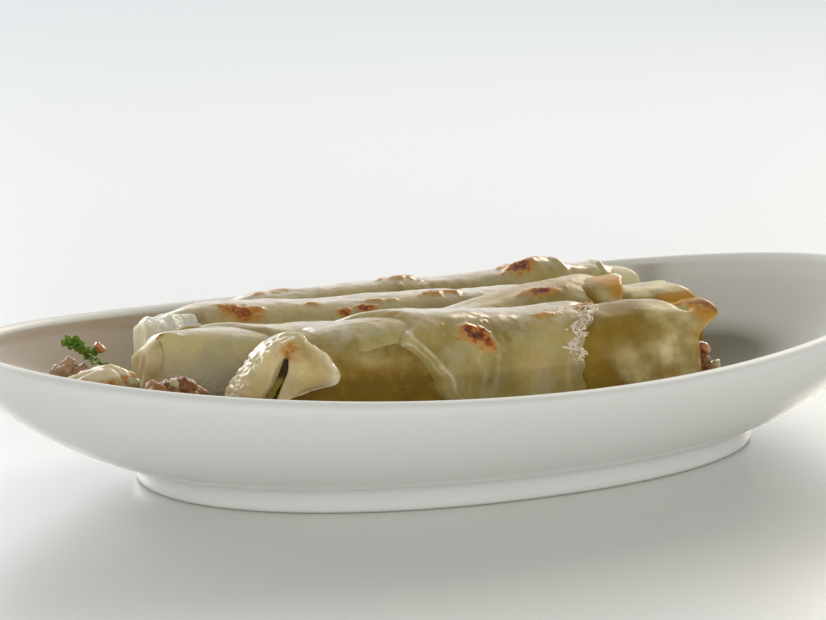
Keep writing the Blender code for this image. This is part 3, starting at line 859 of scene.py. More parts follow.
# %% Cheese sheet
def edge_values(kind, angle, place, y, from_left, from_right):
    """Where the sheet is thin, where it has a bead, and where it is crumpled."""
    front_side = kind == FRONT
    top_left = (kind != FRONT) * (1.0 - smooth(from_left / 9.0))
    thin_reach = mix(3.2, 10.0, smooth((angle - 50.0) / 20.0))
    thin = np.maximum(top_left, front_side * (1.0 - smooth(from_left / thin_reach)))
    thin = np.maximum(thin, 1.0 - smooth(from_right / mix(1.3, 7.0, (kind != FRONT) * 1.0)))
    bead = front_side * 0.2 * np.exp(-((from_left - 3.6 - 0.5 * (60.0 - angle) / 20.0) / 0.5) ** 2)
    bead = bead * smooth((66.0 - angle) / 10.0) * (1.0 + 0.8 * field(place, 2.2, 36))
    crumple = smooth((5.5 - from_right) / 2.5) * smooth(from_right / 0.6) * (
        front_side * smooth((angle - 8.0) / 12.0) + (kind == UPRIGHT) * smooth((-21.0 - y) / 4.0))
    return thin, bead, crumple


def cheese_thickness(place, brown, crumple):
    """An even sheet with folds, lumps, creases and blisters added."""
    x, y = place[..., 0], place[..., 1]
    folds = np.maximum(0.0, field(place, (5.0, 12.0, 16.0), 31)) * 0.20
    lumps = rough_field(place, (8.0, 7.0, 7.0), 33) * 0.22 + field(place, (1.6, 1.4, 1.4), 34) * 0.05
    creases = (1.0 - np.abs(rough_field(place, (1.1, 1.1, 1.5), 35)) * 1.8).clip(0.0, 1.0) ** 2
    knob = soft_spot(x, y, 41.0, 35.0, 6.0, 4.5) * 1.9 + soft_spot(x, y, 46.0, 33.5, 1.1, 4.0) * 0.9
    small = soft_spot(x, y, 56.6, 32.5, 0.7, 5.0) * 0.8 + soft_spot(x, y, 8.0, 38.5, 4.0, 2.5) * 0.6
    blister = 0.5 * smooth(brown * 1.6) - 0.4 * smooth((brown - 0.8) * 3.0)
    return 1.15 + folds + lumps - 0.35 * crumple + creases * crumple * 0.4 + knob + small + blister


def dull_places(x, across):
    """Where the cheese is duller and a little browner."""
    dullness = smooth((x + 2.0) / 12.0) * smooth((across + 23.0) / 4.0) * smooth((12.0 - across) / 5.0)
    dullness = np.maximum(dullness, 0.6 * smooth((x + 6.0) / 12.0) * smooth((-14.0 - across) / 5.0))
    return np.maximum(dullness, 0.3 * smooth((14.0 - x) / 20.0) * smooth((across - 28.0) / 4.0))


def cheese_grids():
    """The sheet's upper and lower points, and the values for its finish."""
    kind, angle, start, direction, far, from_left, from_right = cheese_rays()
    x, y, _ = start
    place = along_rays(start, direction, far)
    thin, bead, crumple = edge_values(kind, angle, place, y, from_left, from_right)
    brown = browned(place)
    full = cheese_thickness(place, brown, crumple)
    cols = x.shape[1]
    from_hem = np.minimum(np.arange(cols), cols - 1 - np.arange(cols))[None, :] * 0.38
    top = mix(0.4, mix(full, -0.8, thin), smooth(from_hem / 0.8)) + bead
    outer = along_rays(start, direction, far + top)
    inner = along_rays(start, direction, far + np.minimum(0.3, top - 0.4))
    across = y - LEAN * x
    back_rolls = smooth((across - 6.0) / 8.0)
    back_rolls = back_rolls * (1.0 - 0.6 * smooth((across - 28.0) / 6.0))
    # Along the crumpled border the paler colour is partly painted highlight for its glints.
    clear = np.clip(crumple * 0.3 + bead * 2.2 + 0.20 * back_rolls, 0.0, 1.0)
    return outer, inner, {"brown": brown, "thin": thin, "clear": clear, "crinkle": crumple,
                          "dullness": dull_places(x, across)}


middle_thickness = float(cheese_thickness(np.zeros((1, 3)), 0.0, 0.0)[0])
print("in the middle the sheet is", round(middle_thickness, 2), "mm thick")

# %% [markdown]
# Cheese is cream and olive in soft clouds, with a pinkish skin where it faces up to the grill.
# That pink on the upward faces is also painted sheen, standing in for the glare of the bright
# sky on the tops. It lets light in a little and shines, but less in its duller places. Toast
# could be a colour of its own, but it comes on in steps, so it goes over all the rest: orange,
# red brown, then nearly black, with fine noise that makes its outline ragged. The same finish
# with other colours serves for the smaller pieces of cheese.

# %% Cheese finish
def make_cheese_finish(name="melted_cheese", cream=(0.53, 0.42, 0.15), olive=(0.25, 0.185, 0.032),
                       clear=(0.78, 0.68, 0.48), depth=3.0):
    finish, tree, shader = new_finish(name, cream, 0.22)
    broad = noise_node(tree, 11.0, 4.0)
    streak = noise_node(tree, 4.0, 4.0, stretch=(0.6, 1.0, 2.6))
    fine = noise_node(tree, 1.1, 3.0)
    colour = blend_colour(tree, ramp(tree, broad, 0.34, 0.66), olive, cream)
    colour = blend_colour(tree, ramp(tree, streak, 0.5, 0.75, 0.0, 0.6), colour, (0.63, 0.52, 0.28))
    # Pinkish where it faces up: a skin from the grill, and painted sheen for the glare of the bright sky
    # on the tops.
    facing = add(tree, "ShaderNodeSeparateXYZ")
    tree.links.new(add(tree, "ShaderNodeNewGeometry").outputs["Normal"], facing.inputs["Vector"])
    skin_and_sheen = multiply(tree, ramp(tree, facing.outputs["Z"], 0.72, 0.97),
                    ramp(tree, streak, 0.3, 0.6, 0.15, 0.7))
    colour = blend_colour(tree, skin_and_sheen, colour, (0.70, 0.545, 0.39))
    wet = multiply(tree, ramp(tree, noise_node(tree, 7.0, 3.0), 0.5, 0.62), 0.45)
    colour = blend_colour(tree, wet, colour, (0.46, 0.43, 0.26))
    colour = blend_colour(tree, stored(tree, "thin"), colour, (0.36, 0.26, 0.055))
    colour = blend_colour(tree, stored(tree, "clear"), colour, clear)
    dullness = stored(tree, "dullness")
    colour = blend_colour(tree, multiply(tree, dullness, 0.22), colour, (0.50, 0.36, 0.16))
    ragged = ramp(tree, noise_node(tree, 0.8, 3.0), 0.35, 0.65, 0.62, 1.22)
    toast = multiply(tree, stored(tree, "brown"), ragged)
    colour = blend_colour(tree, ramp(tree, toast, 0.08, 0.46), colour, (0.58, 0.27, 0.045))
    colour = blend_colour(tree, ramp(tree, toast, 0.45, 0.85), colour, (0.32, 0.07, 0.018))
    colour = blend_colour(tree, ramp(tree, toast, 0.95, 1.30), colour, (0.11, 0.020, 0.011))
    tree.links.new(colour, shader.inputs["Base Color"])
    rough = add(tree, "ShaderNodeMath", operation="MAXIMUM")
    tree.links.new(ramp(tree, fine, 0.3, 0.7, 0.14, 0.30), rough.inputs[0])
    tree.links.new(multiply(tree, dullness, 0.55), rough.inputs[1])
    tree.links.new(rough.outputs[0], shader.inputs["Roughness"])
    shader.inputs["Specular IOR Level"].default_value = 0.5
    shader.inputs["Specular Tint"].default_value = (1.0, 0.86, 0.70, 1.0)
    shader.inputs["Coat Weight"].default_value = 0.12
    shader.inputs["Coat Roughness"].default_value = 0.1
    soften(shader, 0.35, (1.0, 0.8, 0.4), depth)
    crinkle = multiply(tree, stored(tree, "crinkle"), noise_node(tree, 0.9, 3.0))
    relief(tree, shader, [(broad, 0.25), (fine, 0.04), (crinkle, 0.7)])
    return finish


cheese_finish = make_cheese_finish()
outer, inner, values = cheese_grids()
cheese = make_skin("cheese_blanket", outer, inner, cheese_finish, values, flip=True)
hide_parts("melted_cheese")

# %% [markdown]
# The right border of the sheet has crumpled as it shrank. Relief on the sheet alone can't
# show that, because nothing stands free of it. So tiny beads and short wavy threads are
# strewn along it, each thread a thin tube that tapers to its ends and follows the roll. Their
# near-white colour is partly painted highlight, standing in for the glints on the crumples.

# %% Beads and threads of the crumpled border
def border_line(angle):
    """The middle of the crumpled border at each angle of the first roll."""
    return np.interp(angle, FRONT_ANGLE, FRONT_RIGHT) + 0.9 * np.sin(angle * 0.35)


def bead_places(count, seed):
    """Places for tiny beads of cheese along the crumpled right border of the sheet."""
    rng = np.random.default_rng(seed)
    height = rng.uniform(0.0, 1.0, count)
    angle = mix(18.0, 88.0, height)
    x = border_line(angle) - 2.6 + rng.normal(0.0, 1.1, count)
    return skin_point(ROLLS[1], x, np.radians(angle), 0.85), rng.uniform(0.12, 0.34, count)


def make_threads(name, count, material, seed, steps=26, sides=7):
    """Short wavy threads of pulled cheese lying down the crumpled border."""
    rng = np.random.default_rng(seed)
    points, faces = [], []
    for k in range(count):
        s = np.linspace(0.0, 1.0, steps)
        low = rng.uniform(16.0, 80.0)
        angle = low + s * rng.uniform(5.0, 15.0)
        x = border_line(angle) - 2.3 + rng.normal(0.0, 0.75)
        x = x + rng.uniform(0.2, 0.6) * np.sin(s * rng.uniform(5.0, 12.0) + k)
        path = skin_point(ROLLS[1], x, np.radians(angle), 0.85 + 0.3 * np.sin(s * 7.0 + k))
        along = np.gradient(path, axis=0)
        along /= np.linalg.norm(along, axis=1, keepdims=True)
        side = np.cross(along, (0.0, -0.5, 0.86))
        side /= np.linalg.norm(side, axis=1, keepdims=True)
        up = np.cross(side, along)
        radius = rng.uniform(0.16, 0.36) * np.sin(math.pi * mix(0.06, 0.94, s)) ** 0.6
        turn = np.arange(sides) * math.tau / sides
        ring = (np.cos(turn)[None, :, None] * side[:, None]
                + np.sin(turn)[None, :, None] * up[:, None])
        grid = path[:, None] + ring * radius[:, None, None]
        start = len(points) * (steps * sides + 2)
        points.append(np.concatenate([grid.reshape(-1, 3), path[:1], path[-1:]]))
        faces += grid_faces(steps, sides, start, around=True)
        for c in range(sides):
            d = (c + 1) % sides
            faces.append([start + steps * sides, start + d, start + c])
            last = start + (steps - 1) * sides
            faces.append([start + steps * sides + 1, last + c, last + d])
    return make_mesh(name, np.concatenate(points), faces, material)


print("half way up, the border lies at x", round(float(border_line(50.0)), 1), "mm")

# %% [markdown]
# Three places have a layer of their own: a thin film on the first roll's left shoulder, a
# smooth coat over the pressed end of the second, and a clear crumpled fold over the end of
# the third. Each is a patch laid on its roll. Its border sinks into the pasta, so no cut
# edge shows there.

# %% Shape of a patch
SUNK = 0.9


def patch_grids(number, ends, angles, thick, rumple, size, fade, seed, along=110, across=120):
    s, v = np.linspace(0.0, 1.0, along + 1)[:, None], np.linspace(0.0, 1.0, across + 1)[None, :]
    degree = mix(angles[0], angles[1], v) + 0.0 * s
    way = np.stack([degree / 14.0, s * 3.0 + 0.0 * v, 0.0 * degree], -1)
    ragged = 1.1 * field(way, 1.0, seed)
    x = mix(ends[0], ends[1] + ragged, s)
    angle = np.radians(degree + 4.0 * field(way, 0.8, seed + 1) * (1.0 - v))
    roll = ROLLS[number]
    flat, proud = skin_point(roll, x, angle), skin_point(roll, x, angle, 1.0)
    span = (ends[1] - ends[0], (angles[1] - angles[0]) * 0.2)
    border = np.minimum(np.minimum(s * span[0] + fade[1], (1.0 - s) * span[0]),
                        np.minimum(v, 1.0 - v) * span[1])
    ridges = (1.0 - np.abs(rough_field(flat, size, seed + 2))).clip(0.0, 1.0)
    rise = mix(-SUNK, thick + rumple * ridges, smooth(border / fade[0]))
    out = proud - flat
    clear = smooth(border / 2.0) * (rumple > 0.5)
    # Painted light: the lower part of the second roll's coat is paler, standing in for light that shines
    # through it from behind.
    clear = np.maximum(clear, 0.95 * (number == 2) * smooth((30.0 - flat[..., 2]) / 9.0))
    values = {"clear": clear, "brown": browned(flat), "thin": 0.0 * rise, "crinkle": 0.8 * clear}
    return flat + out * rise[..., None], flat + out * (rise - 0.5)[..., None], values


def lay_patch(name, finish, *sizes):
    outer, inner, values = patch_grids(*sizes)
    patch = make_skin(name, outer, inner, finish, values, flip=True)
    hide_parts("melted_cheese")


print("a patch's border sinks", SUNK, "mm into the pasta")

# %% [markdown]
# Each patch is given by its roll, its two ends along the roll, its two angles, its thickness,
# the height and size of its ripples, and how far its border takes to sink, with a head start
# at the left end. Thicker and clearer cheese hides the pasta's colour less, so the coat and
# the fold have paler finishes of their own. Their paleness is also painted light, standing
# in for the light that shines through them from behind.

# %% Patches of thin cheese
# Their pale colours are partly painted light, standing in for light that shines through them from
# behind.
coat_finish = make_cheese_finish(
    "thin_coat", (0.80, 0.66, 0.30), (0.68, 0.54, 0.20), (0.92, 0.84, 0.60), depth=7.0)
fold_finish = make_cheese_finish(
    "clear_cheese", (0.92, 0.84, 0.62), (0.86, 0.76, 0.50), (0.97, 0.92, 0.76), depth=2.0)
lay_patch("film_on_shoulder", cheese_finish,
          1, (-46.5, -13.0), (38.0, 118.0), 0.3, 0.1, 5.0, (4.0, 0.0), 101)
lay_patch("coat_on_end", coat_finish,
          2, (-71.3, -34.0), (-25.0, 112.0), 0.25, 0.1, 7.0, (3.0, 0.0), 111)
lay_patch("clear_fold", fold_finish,
          3, (-62.9, -49.0), (0.0, 118.0), 0.45, 0.9, 6.0, (2.0, 0.5), 121)

# %% [markdown]
# ## The filling and what has fallen out
# The filling is minced meat. Where it has fallen out it is a heap of crumbs. Noise on one
# mound would look like a sponge, so many uneven lumps are piled up and joined into one mesh.

# %% Crumbs
def crumb_shape(level):
    """A coarse ball: points on it and its faces."""
    bm = bmesh.new()
    bmesh.ops.create_icosphere(bm, subdivisions=level, radius=1.0)
    points = np.array([v.co[:] for v in bm.verts])
    faces = [[v.index for v in f.verts] for f in bm.faces]
    bm.free()
    return points, faces


BALLS = {level: crumb_shape(level) for level in (2, 3)}


def make_crumbs(name, centres, sizes, material, seed=0, level=2):
    """Uneven lumps at the given centres, joined into one mesh."""
    ball_points, ball_faces = BALLS[level]
    rng = np.random.default_rng(seed)
    points, faces, tones = [], [], []
    for k, (centre, size) in enumerate(zip(centres, sizes)):
        turn = rng.normal(size=(3, 3))
        turn, _ = np.linalg.qr(turn)
        stretch = rng.uniform(0.65, 1.25, 3)
        p = ball_points * (1.0 + 0.30 * rough_field(ball_points + k * 7.7, 0.75, seed, level)[:, None])
        p = (p * stretch) @ turn.T * size + centre
        start = len(points) * len(ball_points)
        points.append(p)
        faces += [[i + start for i in f] for f in ball_faces]
        tones.append(np.full(len(p), rng.uniform()))
    return make_mesh(name, np.concatenate(points), faces, material,
                     {"tone": np.concatenate(tones)})


print("faces in one crumb, by level:", {level: len(ball[1]) for level, ball in BALLS.items()})

# %% [markdown]
# Each crumb has a tone of its own between dark and light, stored on the mesh, as pieces of
# meat differ. The mince at the left has dried, so it gets a paler and duller finish.

# %% Mince finish
def make_mince_finish(name, dark, light):
    finish, tree, shader = new_finish(name, dark, 0.4)
    tone = stored(tree, "tone")
    fine = noise_node(tree, 0.9, 3.0)
    colour = blend_colour(tree, tone, dark, light)
    colour = blend_colour(tree, ramp(tree, fine, 0.45, 0.7, 0.0, 0.5), colour, (0.44, 0.29, 0.15))
    tree.links.new(colour, shader.inputs["Base Color"])
    shader.inputs["Specular Tint"].default_value = (1.0, 0.80, 0.62, 1.0)
    shader.inputs["Coat Weight"].default_value = 0.1
    shader.inputs["Coat Roughness"].default_value = 0.16
    soften(shader, 0.25, (1.0, 0.5, 0.3), 2.5)
    relief(tree, shader, [(noise_node(tree, 1.2, 3.0), 0.25), (fine, 0.10)])
    return finish


mince_finish = make_mince_finish("cooked_mince", (0.18, 0.060, 0.016), (0.39, 0.18, 0.062))
dull_mince = make_mince_finish("dull_mince", (0.34, 0.20, 0.11), (0.60, 0.42, 0.28))
print("the mince's finish is a graph of", len(mince_finish.node_tree.nodes), "nodes")

# %% [markdown]
# A heap is a round mound, highest in its middle, and its lowest crumbs rest on the dish. It
# is given by its middle, its half sizes, its top, its turn, and the number and the range of
# sizes of its crumbs. The crumbs' shape serves for the beads of the crumpled border too, so
# those are made here with the threads.

# %% Beads, threads and heaps
def heap(name, node, finish, centre, half, top, turn, count, size, seed):
    """A mound of crumbs resting on the dish."""
    rng = np.random.default_rng(seed)
    r = np.sqrt(rng.uniform(0, 1, count)) * 0.93
    a = rng.uniform(0, math.tau, count)
    px, py = half[0] * r * np.cos(a), half[1] * r * np.sin(a)
    c, s = math.cos(math.radians(turn)), math.sin(math.radians(turn))
    x, y = centre[0] + px * c - py * s, centre[1] + px * s + py * c
    low = dish_height(x, y) + 1.2
    high = top - 1.2 - (top - low) * r ** 3.2
    z = np.maximum(low, mix(low, high, rng.uniform(0.25, 1.0, count) ** 0.45))
    sizes = rng.uniform(size[0], size[1], count)
    made = make_crumbs(name, np.stack([x, y, z], -1), sizes, finish, seed, level=3)
    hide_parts(node)


places, sizes = bead_places(90, 9)
# Near-white: partly painted highlight for the glints on the crumpled border.
bead_finish = make_cheese_finish(
    "crumple_cheese", (1.0, 0.84, 0.64), (0.88, 0.70, 0.48), (1.0, 0.90, 0.74), depth=1.0)
threads = make_threads("crumple_threads", 44, bead_finish, 19)
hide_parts("melted_cheese")
beads = make_crumbs("crumple_beads", places, sizes, bead_finish, 10)
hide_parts("melted_cheese")
heap("mince_front", "spilled_filling_front", mince_finish,
     (-75.5, -22.5), (9.4, 6.0), 29.2, 15.0, 150, (1.3, 2.9), 4)
heap("mince_left", "spilled_filling_left", dull_mince,
     (-83.5, 8.0), (5.6, 8.0), 27.6, 10.0, 110, (1.2, 2.4), 5)
heap("mince_right", "spilled_filling_right", mince_finish,
     (45.4, -27.0), (3.6, 6.6), 23.4, 0.0, 130, (0.9, 1.7), 6)

# %% [markdown]
# Inside each open end the filling is one packed mass with a broken face. Only that face can
# be seen, so it is a short plug as wide as the tube inside, with lumps on its end. The second
# roll's filling has sunk back, so its face lies deeper.

# %% Filling in the open ends
PLUG = 16.0
FACE_DEPTH = {1: 1.0, 2: 4.5, 3: 1.0, 4: 1.0}


def filling_grid(roll, number, along=40, around=80):
    angle = np.arange(around) * math.tau / around
    rows = []
    for k in range(along + 1):
        s = k / along
        x = mix(roll["x1"] - PLUG, roll["x1"] - FACE_DEPTH[number], min(1.0, s * 1.25))
        scale = math.sqrt(max(0.02, 1.0 - max(0.0, s - 0.8) ** 2 / 0.04))
        y, z, half_w, half_h = section(roll, x, SHEET + 0.25)
        p = np.stack([x + 0.0 * angle, y - half_w * power(np.cos(angle), 0.8) * scale,
                      z + half_h * power(np.sin(angle), 0.8) * scale], -1)
        lump = np.abs(rough_field(p, 2.6, 40 + number)) * smooth((s - 0.7) * 8.0)
        p[:, 0] += lump * 1.6 - 0.6 * smooth((s - 0.7) * 8.0)
        p[:, 2] = np.maximum(p[:, 2], dish_height(p[:, 0], p[:, 1]) + 1.9)
        rows.append(p)
    return np.array(rows)


for number, roll in ROLLS.items():
    grid = filling_grid(roll, number)
    tone = 0.5 + 0.5 * field(grid, 2.0, 90 + number)
    made = make_loft(f"filling_mass_{number}", grid, mince_finish, {"tone": tone})
    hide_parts(f"filling_{number}")

# %% [markdown]
# A piece of cheese has folded on itself and lies at the left end, beside the mince. From
# outside it is a low mound, so it is lofted from rings that rise from the dish and draw in,
# with a lumpy outline. Only its lower side is browned.

# %% Folded piece of cheese at the left
def lump_grid(centre, half, top, turn, seed, rings=60, around=110):
    rows = []
    c, s = math.cos(math.radians(turn)), math.sin(math.radians(turn))
    a = np.arange(around) * math.tau / around
    for k in range(rings + 1):
        t = k / rings
        scale = max(0.0, 1.0 - (t * 0.985) ** 4.5) ** 0.5 * (0.86 if k == 0 else 1.0)
        way = np.stack([np.cos(a) * 1.9 + seed, np.sin(a) * 1.9, 0.0 * a + t * 2.0], -1)
        bump = 1.0 + 0.16 * rough_field(way, 1.0, seed)
        px, py = half[0] * np.cos(a) * scale * bump, half[1] * np.sin(a) * scale * bump
        x, y = centre[0] + px * c - py * s, centre[1] + px * s + py * c
        z = mix(dish_height(x, y) + 0.4, top + 0.10 * (x - centre[0]), t)
        p = np.stack([x, y, z], -1)
        p[:, 2] += 0.5 * rough_field(p, (3.0, 3.0, 3.0), seed + 3) * smooth(t * 3.0)
        rows.append(p)
    return np.array(rows)


grid = lump_grid((-85.8, -9.8), (10.4, 5.4), 29.6, 8.0, 8)
low_side = smooth((28.6 - grid[..., 2]) / 1.5)
brown = low_side * (0.18 + 0.45 * smooth(field(grid, 1.8, 55) * 2.0))
fold = make_loft("cheese_fold", grid, cheese_finish, {"brown": brown, "clear": 1.0 - 0.8 * low_side})
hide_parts("cheese_fold_left")

# %% [markdown]
# ## The pinched end of the first roll
# The left end of the first roll was pinched to a narrow mouth. Cheese has melted over it, so
# it looks like a pair of lips: a wrinkled one at the back and a broad one in front, whose
# tip hangs over the roll. The mouth is a strip of surface. One curve runs along the mouth,
# another along the outer edge, and the strip bulges between the two.

# %% Smooth paths
def smooth_path(points, count):
    """A smooth curve through a few points, as count points."""
    p = np.asarray(points, dtype=float)
    p = np.concatenate([[2 * p[0] - p[1]], p, [2 * p[-1] - p[-2]]])
    t = np.linspace(0.0, len(p) - 3.0001, count)
    k = t.astype(int)
    f = (t - k)[:, None]
    a, b, c, d = p[k], p[k + 1], p[k + 2], p[k + 3]
    return 0.5 * (2 * b + (c - a) * f + (2 * a - 5 * b + 4 * c - d) * f ** 2
                  + (3 * b - a - 3 * c + d) * f ** 3)


MOUTH = [
    (-60.2, -27.3, 20.5), (-58.4, -28.0, 24.3), (-56.7, -28.3, 26.8), (-55.5, -28.2, 29.4),
    (-54.0, -28.0, 31.3), (-52.6, -27.8, 32.0), (-52.7, -28.9, 31.0), (-53.2, -29.4, 29.0),
    (-54.5, -29.8, 26.6), (-56.6, -30.0, 22.0),
]
OUTER_EDGE = [
    (-62.8, -18.0, 20.6), (-60.6, -18.0, 24.4), (-58.0, -18.0, 27.6), (-55.3, -18.0, 30.8),
    (-52.0, -19.4, 34.0), (-48.4, -24.6, 35.9), (-47.5, -29.2, 34.0), (-45.2, -33.8, 31.2),
    (-45.8, -36.2, 27.4), (-53.5, -35.6, 26.4),
]
BULGE_WAY = [
    (-0.9, -0.15, 0.4), (-0.88, -0.2, 0.45), (-0.85, -0.2, 0.5), (-0.75, -0.25, 0.6),
    (-0.55, -0.3, 0.8), (-0.25, -0.35, 0.9), (-0.2, -0.6, 0.75), (-0.2, -0.85, 0.45),
    (-0.3, -0.95, 0.15), (-0.35, -0.95, 0.05),
]
print("the mouth runs through", len(MOUTH), "places")

# %% [markdown]
# Across the strip, 0 is the mouth and 1 the outer edge. The strip starts a little inside the
# mouth and ends below the surface of the roll, so neither border shows. The back lip is
# wrinkled, and the front one has a crest near its outer edge with a hollow beside it.

# %% Lips
def lip_grids(along=150, across=60):
    mouth, edge = smooth_path(MOUTH, along), smooth_path(OUTER_EDGE, along)
    outward = smooth_path(BULGE_WAY, along)
    outward /= np.linalg.norm(outward, axis=1, keepdims=True)
    u = np.linspace(0.0, 1.0, along)[:, None]
    way = np.outer(u[:, 0], (9.0, 1.0, 1.0))
    edge = edge + 0.45 * np.stack([field(way, 0.5, seed) for seed in (83, 84, 85)], -1)
    v = np.linspace(-0.35, 1.18, across)[None, :]
    inside, beyond = np.minimum(v, 0.0), np.maximum(v - 1.0, 0.0)
    w = np.clip(v, 0.0, 1.0)
    bulge = np.interp(u, (0.0, 0.3, 0.5, 0.62, 0.8, 1.0), (2.2, 2.2, 1.2, 1.0, 1.1, 0.8))
    rise = bulge * np.sin(math.pi * w ** 0.85) ** 0.8 + inside * 7.0 - beyond * 12.0
    p = mouth[:, None] * (1.0 - w[..., None]) + edge[:, None] * w[..., None]
    wrinkles = np.abs(rough_field(p, 1.7, 81)) * mix(1.3, 0.45, smooth((u - 0.4) / 0.2))
    rise = rise + (0.15 + wrinkles * 0.35) * smooth(w * 3.0) * smooth((1.1 - w) * 4.0)
    crest = np.exp(-((w - 0.90) / 0.09) ** 2) * mix(0.35, 1.1, smooth((u - 0.5) / 0.2))
    rise = rise + crest * (1.0 + 0.6 * field(p, 1.1, 82))
    hollow = np.exp(-((w - 0.62) / 0.16) ** 2) * smooth((u - 0.62) / 0.1)
    rise = rise - 0.8 * hollow + 0.25 * field(p, 3.0, 86)
    outer = p + outward[:, None] * rise[..., None]
    stain = np.exp(-((outer - np.array([-51.9, -28.6, 33.4])) ** 2).sum(-1) / 9.0)
    stain = stain * (0.8 + 0.5 * field(outer, 1.5, 87))
    back_lip = 1.0 - smooth((u - 0.42) / 0.12)
    # The paler colour along the crest is partly painted highlight, standing in for the glints along it.
    clear = np.clip(back_lip * smooth(w * 1.5) * 0.35 + crest * 0.6, 0.0, 1.0)
    thin = 0.3 * (1.0 - back_lip) * smooth((w - 0.2) * 2.0)
    values = {"brown": 0.62 * stain, "clear": clear, "thin": thin}
    return outer, outer - outward[:, None] * 0.7, values


outer, inner, values = lip_grids()
lip_finish = make_cheese_finish(
    "pinched_cheese", (0.92, 0.70, 0.39), (0.75, 0.56, 0.24), (1.0, 0.86, 0.62), depth=4.0)
lips = make_skin("pinched_end", outer, inner, lip_finish, values, flip=True)
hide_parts("pasta_roll_1")

# %% [markdown]
# ## Parsley and small bits
# One leaf of parsley lies on the mince at the left, and another shows in the pinched mouth.
# A leaf is a fan of leaflets. Flat cut-outs would vanish when seen from their edge, so each
# is a ruffled disc with a lobed outline.

# %% Leaf finish and leaflets
def make_leaf_finish():
    finish, tree, shader = new_finish("parsley", (0.06, 0.15, 0.02), 0.4)
    vein = noise_node(tree, 0.8, 3.0)
    colour = blend_colour(tree, ramp(tree, vein, 0.35, 0.65), (0.08, 0.19, 0.02), (0.25, 0.42, 0.07))
    colour = blend_colour(tree, ramp(tree, stored(tree, "dark"), 0.0, 0.5), colour, (0.26, 0.22, 0.035))
    # Near black where the value is high: painted shade for the dark hollow of the mouth.
    colour = blend_colour(tree, ramp(tree, stored(tree, "dark"), 0.5, 1.0), colour, (0.035, 0.02, 0.008))
    tree.links.new(colour, shader.inputs["Base Color"])
    shader.inputs["Specular Tint"].default_value = (0.9, 0.9, 0.6, 1.0)
    shader.inputs["Specular IOR Level"].default_value = 0.25
    relief(tree, shader, [(vein, 0.15)])
    return finish


def leaflet(centre, out, size, seed, rings=7, around=30):
    """A ruffled lobed disc standing along the direction out."""
    out = np.asarray(out, dtype=float) / np.linalg.norm(out)
    side = np.cross(out, (0.3, 0.2, 1.0))
    side /= np.linalg.norm(side)
    up = np.cross(side, out)
    r = np.linspace(0.02, 1.0, rings)[:, None]
    t = (np.arange(around) * math.tau / around)[None, :]
    reach_out = r * (1.0 + 0.28 * np.sin(5.0 * t + seed) + 0.1 * np.sin(11.0 * t + seed))
    height = 0.34 * r ** 2 * np.sin(4.0 * t + seed * 2.0) + 0.18 * r
    return (np.asarray(centre, dtype=float) + size * (reach_out * np.cos(t))[..., None] * out
            + size * (reach_out * np.sin(t))[..., None] * side + size * height[..., None] * up)


def make_leaves(name, leaflets):
    """Several leaflets as one mesh, each a thin closed sheet."""
    points, faces = [], []
    for grid in leaflets:
        rows, cols = grid.shape[:2]
        start = len(points) * rows * cols
        points.append(grid.reshape(-1, 3))
        points.append(grid.reshape(-1, 3) - np.array([0.0, 0.0, 0.12]))
        faces += grid_faces(rows, cols, start, around=True)
        faces += grid_faces(rows, cols, start + rows * cols, around=True, flip=True)
        rim = (rows - 1) * cols
        for c in range(cols):
            d = (c + 1) % cols
            faces.append((start + rim + c, start + rim + d, start + rim + d + rows * cols,
                          start + rim + c + rows * cols))
    points = np.concatenate(points)
    return make_mesh(name, points, faces, leaf_finish, {"dark": np.zeros(len(points))})


LEAFLETS = [
    # place, direction it points in, size
    ((-84.6, 8.0, 30.4), (-1.0, -0.3, 0.5), 1.9),
    ((-83.6, 8.0, 31.0), (-0.2, -0.6, 1.0), 1.8),
    ((-82.4, 7.0, 29.8), (0.3, -1.0, 0.3), 1.7),
    ((-81.0, 7.4, 28.9), (0.8, -0.7, 0.2), 1.7),
    ((-79.4, 8.0, 28.2), (1.0, -0.5, 0.5), 1.6),
    ((-79.0, 6.8, 26.6), (0.3, -1.0, -0.3), 1.9),
]
leaf_finish = make_leaf_finish()
sprig = [leaflet(place, out, size, seed) for seed, (place, out, size) in enumerate(LEAFLETS, 1)]
make_leaves("parsley_sprig", sprig)

# %% [markdown]
# The leaf in the mouth is seen as a narrow green slit between the lips. A fan of leaflets
# would push through them, so it is one blade that follows the mouth and darkens to its top,
# where the near-black is painted shade, standing in for the dark hollow of the mouth.

# %% Leaf in the mouth
def make_blade():
    """A narrow leaf standing in the pinched mouth."""
    spine = smooth_path([(-58.6, -27.6, 20.0), (-56.6, -27.8, 25.0), (-54.6, -28.0, 28.0),
                         (-52.9, -28.0, 31.4)], 40)
    width = 1.6 * np.sin(np.linspace(0.25, 2.9, 40)) ** 0.7
    v = np.linspace(-1.0, 1.0, 9)[None, :]
    side = np.array([0.35, -0.9, -0.1])
    grid = spine[:, None] + side * (width[:, None] * v)[..., None]
    grid = grid + np.array([0.8, 0.5, 0.0]) * (0.4 * v ** 2 + 0.25 * field(grid, 1.2, 91))[..., None]
    # Its top is painted shade, near black, for the dark hollow of the mouth.
    dark = 0.5 + 0.5 * smooth((grid[..., 2] - 27.2) / 1.2)
    return make_skin("mouth_leaf", grid, grid + np.array([0.25, 0.2, 0.0]), leaf_finish, {"dark": dark})


make_blade()

# %% [markdown]
# The bright bits are crumbs of carrot and onion. They are the same lumps as the mince, but
# moist, so a clear coat makes them glossy.

